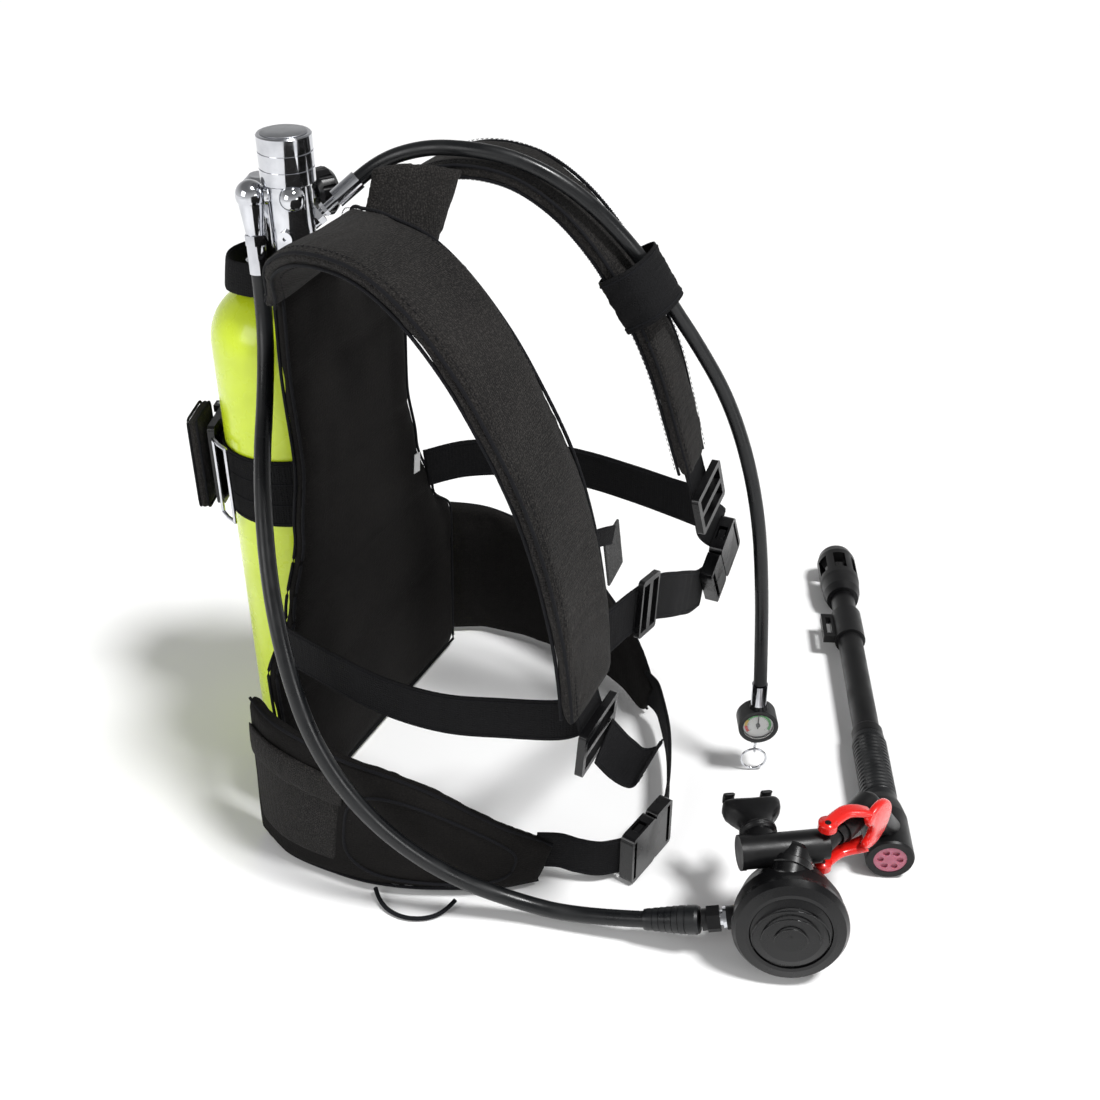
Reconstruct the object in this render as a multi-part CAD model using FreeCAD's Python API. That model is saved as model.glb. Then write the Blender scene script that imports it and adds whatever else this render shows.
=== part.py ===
"""Compact breathing-air pack: a small high-pressure cylinder on a padded harness,
with a first stage, a pressure gauge, a second stage and a snorkel on one mouthpiece.

Millimetres. The origin is the centre of the cylinder's flat foot, on the floor.
+Z is up along the cylinder, -Y is the way the wearer faces, -X is the wearer's right.
Each function below makes one piece, and PIECES at the end names them all.
"""
import FreeCAD, Part
import math
import os

V = FreeCAD.Vector

# ---- driving dimensions ----------------------------------------------------------
CYL_R = 54.0                 # cylinder outside radius
CYL_WALL = 5.5
CYL_SHOULDER_Z = 385.0       # where the straight wall ends
CYL_NECK_R = 17.0
CYL_NECK_Z = (430.0, 445.0)
NECK_BORE_R = 11.0

POST_R = 15.0                # valve post
POST_TOP = 518.0
OUTLET_Z = 503.0             # height of the valve outlet and of the first-stage inlet
KNOB_Z = 495.0
REG_AXIS = V(-25.0, -43.0, 0.0)      # first-stage axis, seen from above
REG_R = 20.3
REG_BODY_R = 17.0
REG_Z = (473.0, 526.0, 562.0)        # body foot, cap foot, cap top

LP_R = 6.5                   # low-pressure hose radius
GAUGE_HOSE_R = 5.75          # high-pressure hose radius

CASE_R = 42.0                # second-stage case radius at its rim
TUBE_R = 13.0                # mouthpiece manifold radius
SNORKEL_R = 12.0
CHAMBER_R = 20.0

STRAP_T = 13.0               # padded shoulder straps
PANEL_T = 14.0               # padded back panel
WEB_T = 2.2                  # webbing
BELT_W = 38.0


# ---- helpers ---------------------------------------------------------------------
def unit(v):
    w = V(v)
    w.normalize()
    return w


def side_of(d):
    """A unit vector square to d."""
    other = V(0, 0, 1) if abs(d.z) < 0.9 else V(1, 0, 0)
    return unit(d.cross(other))


def rod(p, d, r, h):
    return Part.makeCylinder(r, h, p, d)


def pipe(p, d, ro, ri, h):
    return rod(p, d, ro, h).cut(rod(p, d, ri, h))


def hexagon(p, d, across_flats, h):
    x = side_of(unit(d))
    y = unit(d).cross(x)
    r = across_flats / math.sqrt(3)
    pts = [p + x * (r * math.cos(k * math.pi / 3)) + y * (r * math.sin(k * math.pi / 3))
           for k in range(7)]
    return Part.Face(Part.makePolygon(pts)).extrude(unit(d) * h)


def turned(p, d, profile):
    """A solid of revolution about the line p, d; profile is a list of (radius, along)."""
    x = side_of(unit(d))
    pts = [p + x * r + unit(d) * a for r, a in profile]
    face = Part.Face(Part.makePolygon(pts + pts[:1]))
    return face.revolve(p, d, 360)


class Frame:
    """A local set of axes: a along, b across, c out."""

    def __init__(self, origin, along, out):
        self.o = V(origin)
        self.a = unit(along)
        self.b = unit(V(out).cross(self.a))
        self.c = self.a.cross(self.b)

    def at(self, a, b, c):
        return self.o + self.a * a + self.b * b + self.c * c

    def block(self, a, b, c, fillet=0.0):
        """A box between the pairs a, b and c, with its edges along c rounded."""
        corners = [self.at(a[0], b[0], c[0]), self.at(a[1], b[0], c[0]),
                   self.at(a[1], b[1], c[0]), self.at(a[0], b[1], c[0])]
        solid = Part.Face(Part.makePolygon(corners + corners[:1])).extrude(self.c * (c[1] - c[0]))
        if fillet:
            edges = [e for e in solid.Edges
                     if abs(unit(e.tangentAt(e.FirstParameter)).dot(self.c)) > 0.99]
            solid = solid.makeFillet(fillet, edges)
        return solid

    def rod(self, a, b, c, axis, r, h):
        d = {"a": self.a, "b": self.b, "c": self.c}[axis]
        return rod(self.at(a, b, c), d, r, h)


def band(stations, thick):
    """A strap: a ruled solid through (centre, width direction, width) stations."""
    centres = [s[0] for s in stations]
    wires = []
    for i, (c, w, width) in enumerate(stations):
        before = centres[max(i - 1, 0)]
        after = centres[min(i + 1, len(stations) - 1)]
        t = unit(after - before)
        w = unit(w - t * w.dot(t))
        n = t.cross(w)
        corners = [c + w * (sx * width / 2) + n * (sy * thick / 2)
                   for sx, sy in ((-1, -1), (1, -1), (1, 1), (-1, 1))]
        wires.append(Part.makePolygon(corners + corners[:1]))
    return Part.makeLoft(wires, True, True)


def hose_path(points):
    """Straight runs joined by tangent arcs. Prints the arc radii."""
    edges = []
    radii = []
    start = points[0]
    for before, here, after in zip(points, points[1:], points[2:]):
        u = unit(here - before)
        w = unit(after - here)
        turn = math.acos(max(-1.0, min(1.0, u.dot(w))))
        trim = 0.45 * min((here - before).Length, (after - here).Length)
        radii.append(round(trim / math.tan(turn / 2)))
        a = here - u * trim
        b = here + w * trim
        inward = unit(w - u)
        r = trim / math.tan(turn / 2)
        centre = here + inward * (r / math.cos(turn / 2))
        edges.append(Part.LineSegment(start, a).toShape())
        edges.append(Part.Arc(a, centre - inward * r, b).toShape())
        start = b
    edges.append(Part.LineSegment(start, points[-1]).toShape())
    print("arc radii", radii)
    return Part.Wire(edges)


def hose(points, r):
    path = hose_path(points)
    d = unit(points[1] - points[0])
    ring = Part.Wire([Part.makeCircle(r, points[0], d)])
    tube = path.makePipeShell([ring], True, True)
    expected = math.pi * r * r * path.Length
    print("hose length %.0f mm, volume ratio %.4f" % (path.Length, tube.Volume / expected))
    return tube


def coil(p, d, r, wire, height, turns):
    """A compression spring between two planes."""
    pitch = (height - 2 * wire) / turns
    helix = Part.makeHelix(pitch, pitch * turns, r)
    section = Part.Wire([Part.makeCircle(wire, V(r, 0, 0), V(0, 1, 0))])
    spring = Part.Wire(helix.Edges).makePipeShell([section], True, True)
    spring.Placement = FreeCAD.Placement(p + unit(d) * wire,
                                         FreeCAD.Rotation(V(0, 0, 1), unit(d)))
    return spring


# ---- cylinder and valve ----------------------------------------------------------
TO_REG = unit(REG_AXIS)
TO_KNOB = unit(V(-TO_REG.y, TO_REG.x, 0))
UP = V(0, 0, 1)
ORIGIN = V(0, 0, 0)


def shoulder_arc(r):
    """Start, middle and end of the shoulder's arc for a wall of radius r, as (r, z)."""
    centre_r = CYL_R - 45.9
    reach = r - centre_r
    end_r = CYL_NECK_R if r == CYL_R else NECK_BORE_R
    end = math.acos((end_r - centre_r) / reach)
    return [(centre_r + reach * math.cos(t), CYL_SHOULDER_Z + reach * math.sin(t))
            for t in (0, end / 2, end)]


def cylinder():
    def p(rz):
        return V(rz[0], 0, rz[1])

    def line(a, b):
        return Part.LineSegment(p(a), p(b)).toShape()

    def arc(a, m, b):
        return Part.Arc(p(a), p(m), p(b)).toShape()

    foot = 12.0
    k = math.sqrt(0.5)
    outer = shoulder_arc(CYL_R)
    inner_r = CYL_R - CYL_WALL
    inner = shoulder_arc(inner_r)
    floor_z = 8.0
    edges = [line((0, 0), (CYL_R - foot, 0)),
             arc((CYL_R - foot, 0), (CYL_R - foot + foot * k, foot - foot * k), (CYL_R, foot)),
             line((CYL_R, foot), outer[0]),
             arc(*outer),
             line(outer[2], (CYL_NECK_R, CYL_NECK_Z[1])),
             line((CYL_NECK_R, CYL_NECK_Z[1]), (NECK_BORE_R, CYL_NECK_Z[1])),
             line((NECK_BORE_R, CYL_NECK_Z[1]), inner[2]),
             arc(*inner[::-1]),
             line(inner[0], (inner_r, floor_z + foot)),
             arc((inner_r, floor_z + foot),
                 (inner_r - foot + foot * k, floor_z + foot - foot * k),
                 (inner_r - foot, floor_z)),
             line((inner_r - foot, floor_z), (0, floor_z)),
             line((0, floor_z), (0, 0))]
    return Part.Face(Part.Wire(edges)).revolve(ORIGIN, UP, 360)


def knob_at(s):
    return V(0, 0, KNOB_Z) + TO_KNOB * s


def valve_body():
    post = turned(ORIGIN, UP, [(0, 418), (NECK_BORE_R - 0.05, 418), (NECK_BORE_R - 0.05, 445),
                               (19, 445), (19, 452), (POST_R, 455), (POST_R, POST_TOP - 6),
                               (POST_R - 6, POST_TOP), (0, POST_TOP)])
    outlet = rod(V(0, 0, OUTLET_Z), TO_REG, 11, 24)
    arm = rod(knob_at(0), TO_KNOB, 11, 31)
    plate = Frame(knob_at(29), TO_KNOB, UP).block((0, 5), (-13, 13), (-14, 21), 0)
    body = post.fuse([outlet, arm, plate])
    body = body.cut(rod(V(0, 0, 417), UP, 3.0, 78))
    body = body.cut(rod(knob_at(-6), TO_KNOB, 6.0, 41))
    body = body.cut(rod(V(0, 0, OUTLET_Z), TO_REG, 3.0, 30))
    return body.cut(rod(V(0, 0, KNOB_Z), UP, 3.0, 11)).removeSplitter()


def valve_seat_plug():
    return rod(knob_at(4), TO_KNOB, 5.9, 8)


def valve_bonnet():
    nut = hexagon(knob_at(34.2), TO_KNOB, 19, 4.8)
    spigot = rod(knob_at(26), TO_KNOB, 5.98, 9)
    return nut.fuse(spigot).cut(rod(knob_at(20), TO_KNOB, 3.06, 30))


def valve_stem():
    shank = rod(knob_at(15.2), TO_KNOB, 3.0, 38)
    collar = rod(knob_at(21), TO_KNOB, 5.0, 4.5)
    return shank.fuse(collar)


def valve_handwheel():
    wheel = turned(knob_at(41), TO_KNOB, [(0, 0), (15, 0), (18.5, 3), (19, 13), (16, 17), (0, 17)])
    x = side_of(TO_KNOB)
    y = TO_KNOB.cross(x)
    flutes = []
    for k in range(14):
        t = 2 * math.pi * k / 14
        flutes.append(rod(knob_at(40) + x * (20.3 * math.cos(t)) + y * (20.3 * math.sin(t)),
                          TO_KNOB, 2.6, 19))
    return wheel.cut(Part.makeCompound(flutes)).cut(rod(knob_at(40), TO_KNOB, 3.0, 13.2))


# ---- first stage -----------------------------------------------------------------
def reg(z, out=0.0, direction=V(1, 0, 0)):
    return V(REG_AXIS.x, REG_AXIS.y, z) + direction * out


TO_ELBOW = unit(V(-0.55, 0.835, 0))
TO_DOME = unit(V(-0.77, -0.64, 0))
TO_PLUG = unit(V(-0.96, -0.27, 0))
TO_GAUGE = unit(V(0.575, -0.571, 0.585))
GAUGE_PORT = V(REG_AXIS.x, REG_AXIS.y, 484.0)
BALL = reg(517, 28.5, TO_ELBOW)
LP_DOWN = unit(V(-4.0, -3.2, -58.0))


def first_stage_body():
    z0, z1 = REG_Z[:2]
    body = turned(reg(0), UP, [(0, z0), (13, z0), (REG_BODY_R, z0 + 5), (REG_BODY_R, z1),
                               (16.2, z1), (16.2, z1 + 8), (0, z1 + 8)])
    inlet = rod(reg(OUTLET_Z), TO_REG * -1, 9.0, 25.2)
    lp_boss = rod(reg(517), TO_ELBOW, 7.5, 18.4)
    gauge_boss = rod(GAUGE_PORT, TO_GAUGE, 7.0, 21.8)
    body = body.fuse([inlet, lp_boss, gauge_boss])
    body = body.cut(rod(reg(497), UP, 11.5, 40))
    body = body.cut(rod(reg(480), UP, 5.4, 20))
    body = body.cut(rod(reg(OUTLET_Z, 8, TO_REG * -1), TO_REG * -1, 2.5, 20))
    body = body.cut(rod(reg(517, 8, TO_ELBOW), TO_ELBOW, 3.0, 12))
    body = body.cut(rod(GAUGE_PORT, TO_GAUGE, 1.5, 24))
    body = body.cut(rod(reg(517, 12, TO_DOME), TO_DOME, 5.0, 8))
    body = body.cut(rod(reg(489, 13, TO_PLUG), TO_PLUG, 4.0, 8))
    vents = [rod(reg(522), V(math.cos(t), math.sin(t), 0), 1.4, 20)
             for t in (2 * math.pi * (k + 0.5) / 8 for k in range(8))]
    return body.cut(Part.makeCompound(vents)).removeSplitter()


def first_stage_cap():
    z1, z2 = REG_Z[1], REG_Z[2]
    grooves = [(REG_R, z1 + 1), (REG_R, z1 + 11), (REG_R - 0.7, z1 + 11), (REG_R - 0.7, z1 + 12.2),
               (REG_R, z1 + 12.2), (REG_R, z1 + 23), (REG_R - 0.7, z1 + 23),
               (REG_R - 0.7, z1 + 24.2), (REG_R, z1 + 24.2), (REG_R, z2 - 1), (REG_R - 1, z2)]
    return turned(reg(0), UP, [(REG_R - 1, z1 + 0.1)] + grooves +
                  [(0, z2), (0, z2 - 5), (14.6, z2 - 5), (14.6, z1 + 9),
                   (16.25, z1 + 9), (16.25, z1 + 0.1)])


def main_piston():
    head = rod(reg(548), UP, 14.5, 5)
    shaft = rod(reg(486), UP, 5.0, 62.5)
    return head.fuse(shaft).cut(rod(reg(485), UP, 1.8, 70))


def main_spring():
    return coil(reg(498), UP, 8.6, 1.5, 49, 6)


def dome_port_plug():
    ball = Part.makeSphere(9.5, reg(519, 19, TO_DOME))
    ball = ball.cut(rod(reg(440), UP, REG_BODY_R + 0.05, 86))
    ball = ball.cut(rod(reg(526), UP, REG_R + 0.3, 40))
    return ball.fuse(rod(reg(517, 12.5, TO_DOME), TO_DOME, 4.9, 6))


def port_plug():
    """Flat plug with a hexagon socket, low on the front of the first stage."""
    front = rod(reg(489, 17.1, TO_PLUG), TO_PLUG, 5.6, 3.6)
    front = front.fuse(rod(reg(489, 13.2, TO_PLUG), TO_PLUG, 3.95, 4))
    return front.cut(rod(reg(489, 18.9, TO_PLUG), TO_PLUG, 1.6, 3))


def inlet_coupling():
    """Hexagonal union that screws the first stage onto the valve outlet."""
    nut = hexagon(V(0, 0, OUTLET_Z) + TO_REG * 17.5, TO_REG, 25, 14.0)
    nut = nut.cut(rod(V(0, 0, OUTLET_Z), TO_REG, 11.05, 24.2))
    nut = nut.cut(rod(V(0, 0, OUTLET_Z), TO_REG, 9.05, 40))
    return nut.cut(rod(reg(450), UP, REG_BODY_R + 0.1, 70))


def lp_elbow():
    ball = Part.makeSphere(11.2, BALL)
    ball = ball.cut(rod(BALL - TO_ELBOW * 10.0, TO_ELBOW * -1, 14, 10))
    cone = Part.makeCone(10.0, 6.6, 26, BALL + LP_DOWN * 3, LP_DOWN)
    elbow = ball.fuse(cone)
    elbow = elbow.cut(rod(BALL - TO_ELBOW * 12, TO_ELBOW, 3.0, 12))
    return elbow.cut(rod(BALL, LP_DOWN, 3.0, 40)).removeSplitter()


def lp_hose_nut():
    nut = hexagon(BALL + LP_DOWN * 29, LP_DOWN, 14.5, 7.5)
    return nut.cut(rod(BALL + LP_DOWN * 28, LP_DOWN, 3.0, 10))


def lp_ferrule():
    tube = rod(BALL + LP_DOWN * 36.5, LP_DOWN, 7.3, 22)
    return tube.cut(rod(BALL + LP_DOWN * 36, LP_DOWN, 3.0, 24))


def fitting_at(s):
    return GAUGE_PORT + TO_GAUGE * s


def gauge_fitting():
    parts = [hexagon(fitting_at(21.8), TO_GAUGE, 13, 5), rod(fitting_at(26), TO_GAUGE, 3.3, 16),
             hexagon(fitting_at(29), TO_GAUGE, 9.5, 3)]
    fitting = parts[0].fuse(parts[1:]).cut(rod(fitting_at(20), TO_GAUGE, 1.2, 24))
    return fitting.cut(rod(reg(460), UP, REG_BODY_R + 0.1, 66))


def upper_ferrule():
    return rod(fitting_at(42), TO_GAUGE, 7.3, 22).cut(rod(fitting_at(41), TO_GAUGE, 2.0, 24))


# ---- hoses -----------------------------------------------------------------------
LP_START = BALL + LP_DOWN * 58.5
LP_ROUTE = [LP_START, LP_START + LP_DOWN * 40, V(-76, -38, 374), V(-114, -56, 338),
            V(-148, -77, 299), V(-174, -97, 259), V(-193, -118, 214), V(-204, -140, 168),
            V(-205, -168, 124), V(-197, -202, 82), V(-181, -243, 45), V(-161, -287, 20),
            V(-150, -336, 14), V(-139.5, -388, 24.5)]
GAUGE_START = fitting_at(64)
GAUGE_ROUTE = [GAUGE_START, GAUGE_START + TO_GAUGE * 20, V(30, -124, 546), V(34, -158, 549),
            V(41, -194, 545), V(50, -230, 529), V(61, -261, 502), V(73, -288, 467),
            V(84, -306, 433), V(96, -324, 400), V(107, -347, 356), V(108, -368, 305),
            V(103, -384, 250), V(97, -393, 194), V(91.5, -399, 140), V(88.5, -402.5, 98)]


# ---- pressure gauge --------------------------------------------------------------
GAUGE = V(88.0, -403.5, 56.0)
DIAL_OUT = unit(V(-0.88, -0.41, 0.12))
GAUGE_FRAME = Frame(GAUGE, V(0, 0, 1), DIAL_OUT)
GAUGE_R = 15.0
RING_MAJOR = 11.0
RING_PIVOT = GAUGE_FRAME.at(-31.9, 0, 0)


def gauge_ferrule():
    tube = rod(V(88.3, -402.9, 76.5), unit(V(0.3, 0.6, 22)), 6.9, 21.0)
    return tube.cut(rod(V(88.3, -402.9, 76), unit(V(0.3, 0.6, 22)), 2.0, 23))


def gauge_boot():
    f = GAUGE_FRAME
    cup = f.rod(0, 0, -10, "c", GAUGE_R + 2.5, 18).cut(f.rod(0, 0, -8, "c", GAUGE_R, 20))
    stem = Part.makeCone(8.5, 7.2, 6.5, f.at(13.8, 0, -1), f.a)
    tab = f.block((-23, -14), (-4, 4), (-1.5, 1.5), 0)
    tab = tab.cut(f.rod(-19.5, 0, -6, "c", 1.8, 12))
    tab = tab.cut(f.rod(0, 0, -10, "c", GAUGE_R + 2.4, 18))
    stem = stem.cut(f.rod(0, 0, -8, "c", GAUGE_R, 20))
    return cup.fuse([stem, tab]).cut(f.rod(12, 0, -1, "a", 2.0, 12)).removeSplitter()


def gauge_case():
    f = GAUGE_FRAME
    cup = f.rod(0, 0, -7.95, "c", GAUGE_R - 0.05, 15.9)
    cup = cup.cut(f.rod(0, 0, -6.5, "c", GAUGE_R - 1.5, 15))
    cup = cup.cut(f.rod(12, 0, -1, "a", 2.0, 5))
    dial = f.rod(0, 0, 3.0, "c", GAUGE_R - 1.0, 0.8).cut(f.rod(0, 0, 2, "c", 1.05, 4))
    return cup.fuse(dial)


def gauge_lens():
    f = GAUGE_FRAME
    return f.rod(0, 0, 6.4, "c", GAUGE_R - 1.55, 1.5)


def gauge_needle():
    f = GAUGE_FRAME
    hub = f.rod(0, 0, 4.0, "c", 1.9, 1.4)
    shaft = f.rod(0, 0, -2, "c", 1.0, 6.5)
    pointer = f.block((-4, 11), (-0.5, 0.5), (4.2, 4.9), 0)
    return hub.fuse([shaft, pointer])


def bourdon_tube():
    """Flattened pressure tube bent round behind the dial."""
    f = GAUGE_FRAME
    ring = f.rod(0, 0, -5, "c", 11, 4).cut(f.rod(0, 0, -6, "c", 9, 6))
    ring = ring.cut(f.block((-12, 0.5), (0, 12), (-6, 0), 0))
    return ring.fuse(f.block((10, 13.4), (-1.5, 1.5), (-5, -1), 0))


def gauge_clip():
    """Snap hook bent from flat wire, through the eye of the gauge boot."""
    f = GAUGE_FRAME
    eye = f.at(-19.5, 0, 0)
    hook = Part.makeTorus(3.2, 1.0, eye - f.a * 3.2, f.b)
    bar = rod(eye - f.a * 6.4, f.a * -1, 1.0, 3.7)
    lower_eye = Part.makeTorus(2.3, 0.8, RING_PIVOT, f.b)
    return hook.fuse([bar, lower_eye])


def split_ring():
    """Key ring hanging in the clip's lower eye."""
    f = GAUGE_FRAME
    return Part.makeTorus(RING_MAJOR, 1.0, RING_PIVOT - f.a * RING_MAJOR, f.c)


# ---- second stage ----------------------------------------------------------------
CASE = V(-109.0, -493.0, 47.0)
BACK = unit(V(0.92, 0.335, -0.20))            # from the cover towards the mouth side
_inlet = V(0.30, -0.935, 0.19)
INLET = unit(_inlet - BACK * _inlet.dot(BACK))  # the way the air comes in
RISE = unit(BACK.cross(INLET)) * -1           # up the face of the case
CASE_FRAME = Frame(CASE, BACK, RISE)


def case(s, along_inlet=0.0, rise=0.0):
    return CASE + BACK * s + INLET * along_inlet + RISE * rise


NECK_TOP = V(-78.0, -484.0, 86.0)
NECK_ROOT = case(12, 0, 8)
NECK_DIR = unit(NECK_TOP - NECK_ROOT)


def second_stage_case():
    outer = turned(CASE, BACK, [(0, 24), (30, 24), (36, 20), (CASE_R, 2), (CASE_R, -12), (0, -12)])
    inner = turned(CASE, BACK, [(0, 21.5), (28.5, 21.5), (33.7, 18.5), (CASE_R - 2.5, 1.5),
                                (CASE_R - 2.5, -13), (0, -13)])
    neck = rod(NECK_ROOT, NECK_DIR, 14.0, 24)
    boss = rod(case(4, -47), INLET, 9.0, 14)
    body = outer.fuse([neck, boss]).cut(inner)
    body = body.cut(rod(NECK_ROOT, NECK_DIR, 11.0, 30))
    body = body.cut(rod(case(4, -50), INLET, 6.1, 20))
    return body.cut(rod(case(12, 0, -44), RISE, 11.0, 12)).removeSplitter()


def case_envelope(gap):
    """The outside of the second-stage case, grown by gap."""
    return turned(CASE, BACK, [(0, 24 + gap), (30 + gap, 24 + gap), (36 + gap, 20),
                               (CASE_R + gap, 2), (CASE_R + gap, -26), (0, -26)])


def exhaust_tee():
    """Exhaust horn under the case, open at both ends."""
    level = unit(V(INLET.x, INLET.y, 0))
    middle = case(14, 0, -37)
    horn = rod(middle - level * 24, level, 8.0, 48)
    horn = horn.fuse(rod(case(13, 0, -36), RISE, 10.8, 6))
    horn = horn.cut(rod(middle - level * 26, level, 6.4, 52))
    horn = horn.cut(case_envelope(0.1)).cut(rod(case(12, 0, -30), RISE * -1, 7, 20))
    return max(horn.Solids, key=lambda s: s.Volume)


def cover_ring():
    return turned(CASE, BACK, [(38.0, -12.1), (CASE_R + 2, -12.1), (CASE_R + 2, -16),
                               (CASE_R - 1, -21), (34, -23), (31.2, -23), (31.2, -19.5),
                               (36.5, -18.5), (38.0, -17)])


def purge_button():
    return turned(CASE, BACK, [(0, -25.5), (14, -25.2), (24, -24.2), (30.4, -22.0), (30.7, -18.6),
                               (29.0, -18.6), (24, -21.2), (13.8, -22.6), (0, -22.8)])


def diaphragm():
    disc = turned(CASE, BACK, [(0, -11.2), (CASE_R - 2.7, -11.2), (CASE_R - 2.7, -9.4),
                               (31, -9.4), (29.5, -8.4), (28, -9.4), (0, -9.4)])
    return disc


def purge_spring():
    return coil(case(-22.5), BACK, 8.0, 0.6, 7.0, 3)


def inlet_barrel():
    """Valve barrel across the case, with the seat at its closed end."""
    tube = pipe(case(4, -52), INLET, 6.0, 4.2, 84)
    flange = pipe(case(4, -49.5), INLET, 8.6, 6.0, 2.4)
    slot = CASE_FRAME.block((-4, 0.0), (20, 30), (-3, 3), 0)
    barrel = tube.fuse(flange).cut(slot)
    window = rod(case(4, 22), BACK * -1, 2.6, 12)
    return barrel.cut(window).removeSplitter()


def poppet():
    body = rod(case(4, -38), INLET, 4.05, 66)
    return body.cut(rod(case(4, -39), INLET, 1.5, 50)).cut(rod(case(4, 22), BACK * -1, 2.4, 8))


def demand_lever():
    """Bent lever from the poppet up to the diaphragm."""
    f = Frame(case(-5.8, 22), INLET * -1, BACK * -1)
    arm = f.block((0, 24), (-2, 2), (0, 1.0), 0)
    nose = f.block((20.5, 24), (-4, 4), (1.0, 3.0), 0)
    leg = rod(case(-6.4, 22), BACK, 1.3, 9.0)
    return arm.fuse([nose, leg])


def hose_nut():
    nut = hexagon(case(4, -62), INLET, 18, 10)
    nut = nut.fuse(rod(case(4, -66), INLET, 8.4, 5))
    return nut.cut(rod(case(4, -67), INLET, 6.05, 16))


BOOT_DIR = unit(case(4, -67) - LP_ROUTE[-1])
BOOT_LEN = (case(4, -67) - LP_ROUTE[-1]).Length


def hose_boot():
    """Tapered rubber strain relief with shallow ribs, round the crimped hose end."""
    profile = [(0, 0.3), (7.9, 0.3)]
    steps = 6
    for k in range(steps):
        a = 3 + k * (BOOT_LEN - 14) / steps
        grow = 8.0 + 2.9 * (k + 1) / steps
        profile += [(grow, a), (grow, a + 4.6), (grow - 0.7, a + 4.9), (grow - 0.7, a + 6.0)]
    profile += [(11.2, BOOT_LEN - 10), (11.2, BOOT_LEN - 3), (10.2, BOOT_LEN - 0.8),
                (0, BOOT_LEN - 0.8)]
    return turned(LP_ROUTE[-1], BOOT_DIR, profile)


# ---- manifold, mouthpiece and selector -------------------------------------------
MAN = V(-78.0, -484.0, 86.0)
MAN_DIR = unit(V(0.53, -0.848, 0.0))
BITE_DIR = unit(V(0.86, 0.51, 0.05))


def man(s):
    return MAN + MAN_DIR * s


PIVOT = man(24)
LEVER_DIR = unit(V(0.956, -0.29, 0.0))
LEVER_FRONT = unit(V(-0.29, -0.956, 0.0))
MOUTH_ROOT = man(-24)
ELBOW_A = PIVOT + LEVER_DIR * 62 + V(0, 0, -2)
SNORKEL_AXIS = unit(V(0.933, 0.358, 0.0))
SNORKEL_END = V(8.0, -546.0, CHAMBER_R)


def sn(s):
    return SNORKEL_END + SNORKEL_AXIS * s


ELBOW_B = sn(24) + V(0, 0, 12)


def manifold_tube():
    tube = rod(man(-40), MAN_DIR, TUBE_R, 66)
    knuckle = Part.makeSphere(TUBE_R + 1.5, man(26))
    branch = rod(PIVOT + LEVER_DIR * 4, LEVER_DIR, 8.5, 26)
    mouth = rod(MOUTH_ROOT, BITE_DIR, 11.5, 27)
    tube = tube.fuse([knuckle, branch, mouth])
    tube = tube.cut(rod(man(-41), MAN_DIR, TUBE_R - 2.2, 67))
    tube = tube.cut(rod(MOUTH_ROOT, BITE_DIR, 9.3, 30))
    tube = tube.cut(rod(PIVOT, LEVER_DIR, 6.5, 32))
    tube = tube.cut(rod(NECK_ROOT, NECK_DIR, 14.2, (NECK_TOP - NECK_ROOT).Length))
    tube = tube.cut(case_envelope(0.2))
    cap = rod(man(-43), MAN_DIR, TUBE_R + 0.6, 4)
    stubs = [rod(PIVOT + UP * (s * 13), UP * s, 2.0, 11) for s in (-1, 1)]
    return tube.fuse([cap] + stubs).removeSplitter()


def selector_lever():
    """Red fork over the end of the manifold, with a round paddle in front of the elbow."""
    f = Frame(PIVOT, LEVER_DIR, LEVER_FRONT)
    parts = []
    for level in (17.5, -23.5):
        eye = rod(PIVOT + UP * level, UP, 7.5, 6)
        arm = f.block((0, 42), (level, level + 6), (-6, 6), 0)
        bridge = f.block((30, 42), (level, level + 6), (0, 20), 0)
        parts += [eye, arm, bridge]
    paddle = f.rod(44, 2, 14, "c", 21, 6)
    lever = paddle.fuse(parts)
    notch = f.rod(28, 0, 10, "c", 9, 14).fuse(f.block((12, 28), (-9, 9), (10, 24), 0))
    lever = lever.cut(notch).cut(rod(PIVOT - UP * 30, UP, 2.06, 60))
    return lever.removeSplitter()


def mouthpiece():
    """Silicone mouthpiece: an oval sleeve that spreads into a lip flange with two bite tabs."""
    f = Frame(MOUTH_ROOT + BITE_DIR * 15.2, BITE_DIR, UP)
    sleeve = f.rod(0, 0, 0, "a", 13.6, 16)
    flange = f.block((16, 30), (-23, 23), (-12, 12), 0)
    flange = flange.makeFillet(4.5, [e for e in flange.Edges if e.Length > 13 and e.Length < 15])
    body = sleeve.fuse(flange)
    body = body.cut(f.block((12, 27), (-18, 18), (-8, 8), 0))
    body = body.cut(f.block((26, 32), (-9, 9), (-5, 5), 0))
    body = body.cut(rod(MOUTH_ROOT, BITE_DIR, 11.6, 34))
    tabs = [f.block((30, 44), (s - 5, s + 5), (-6, -3), 0) for s in (-15, 15)]
    posts = [f.block((40, 44), (s - 5, s + 5), (-6, 3), 0) for s in (-15, 15)]
    return body.fuse(tabs + posts).cut(rod(man(-45), MAN_DIR, TUBE_R + 0.1, 75)).removeSplitter()


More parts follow.
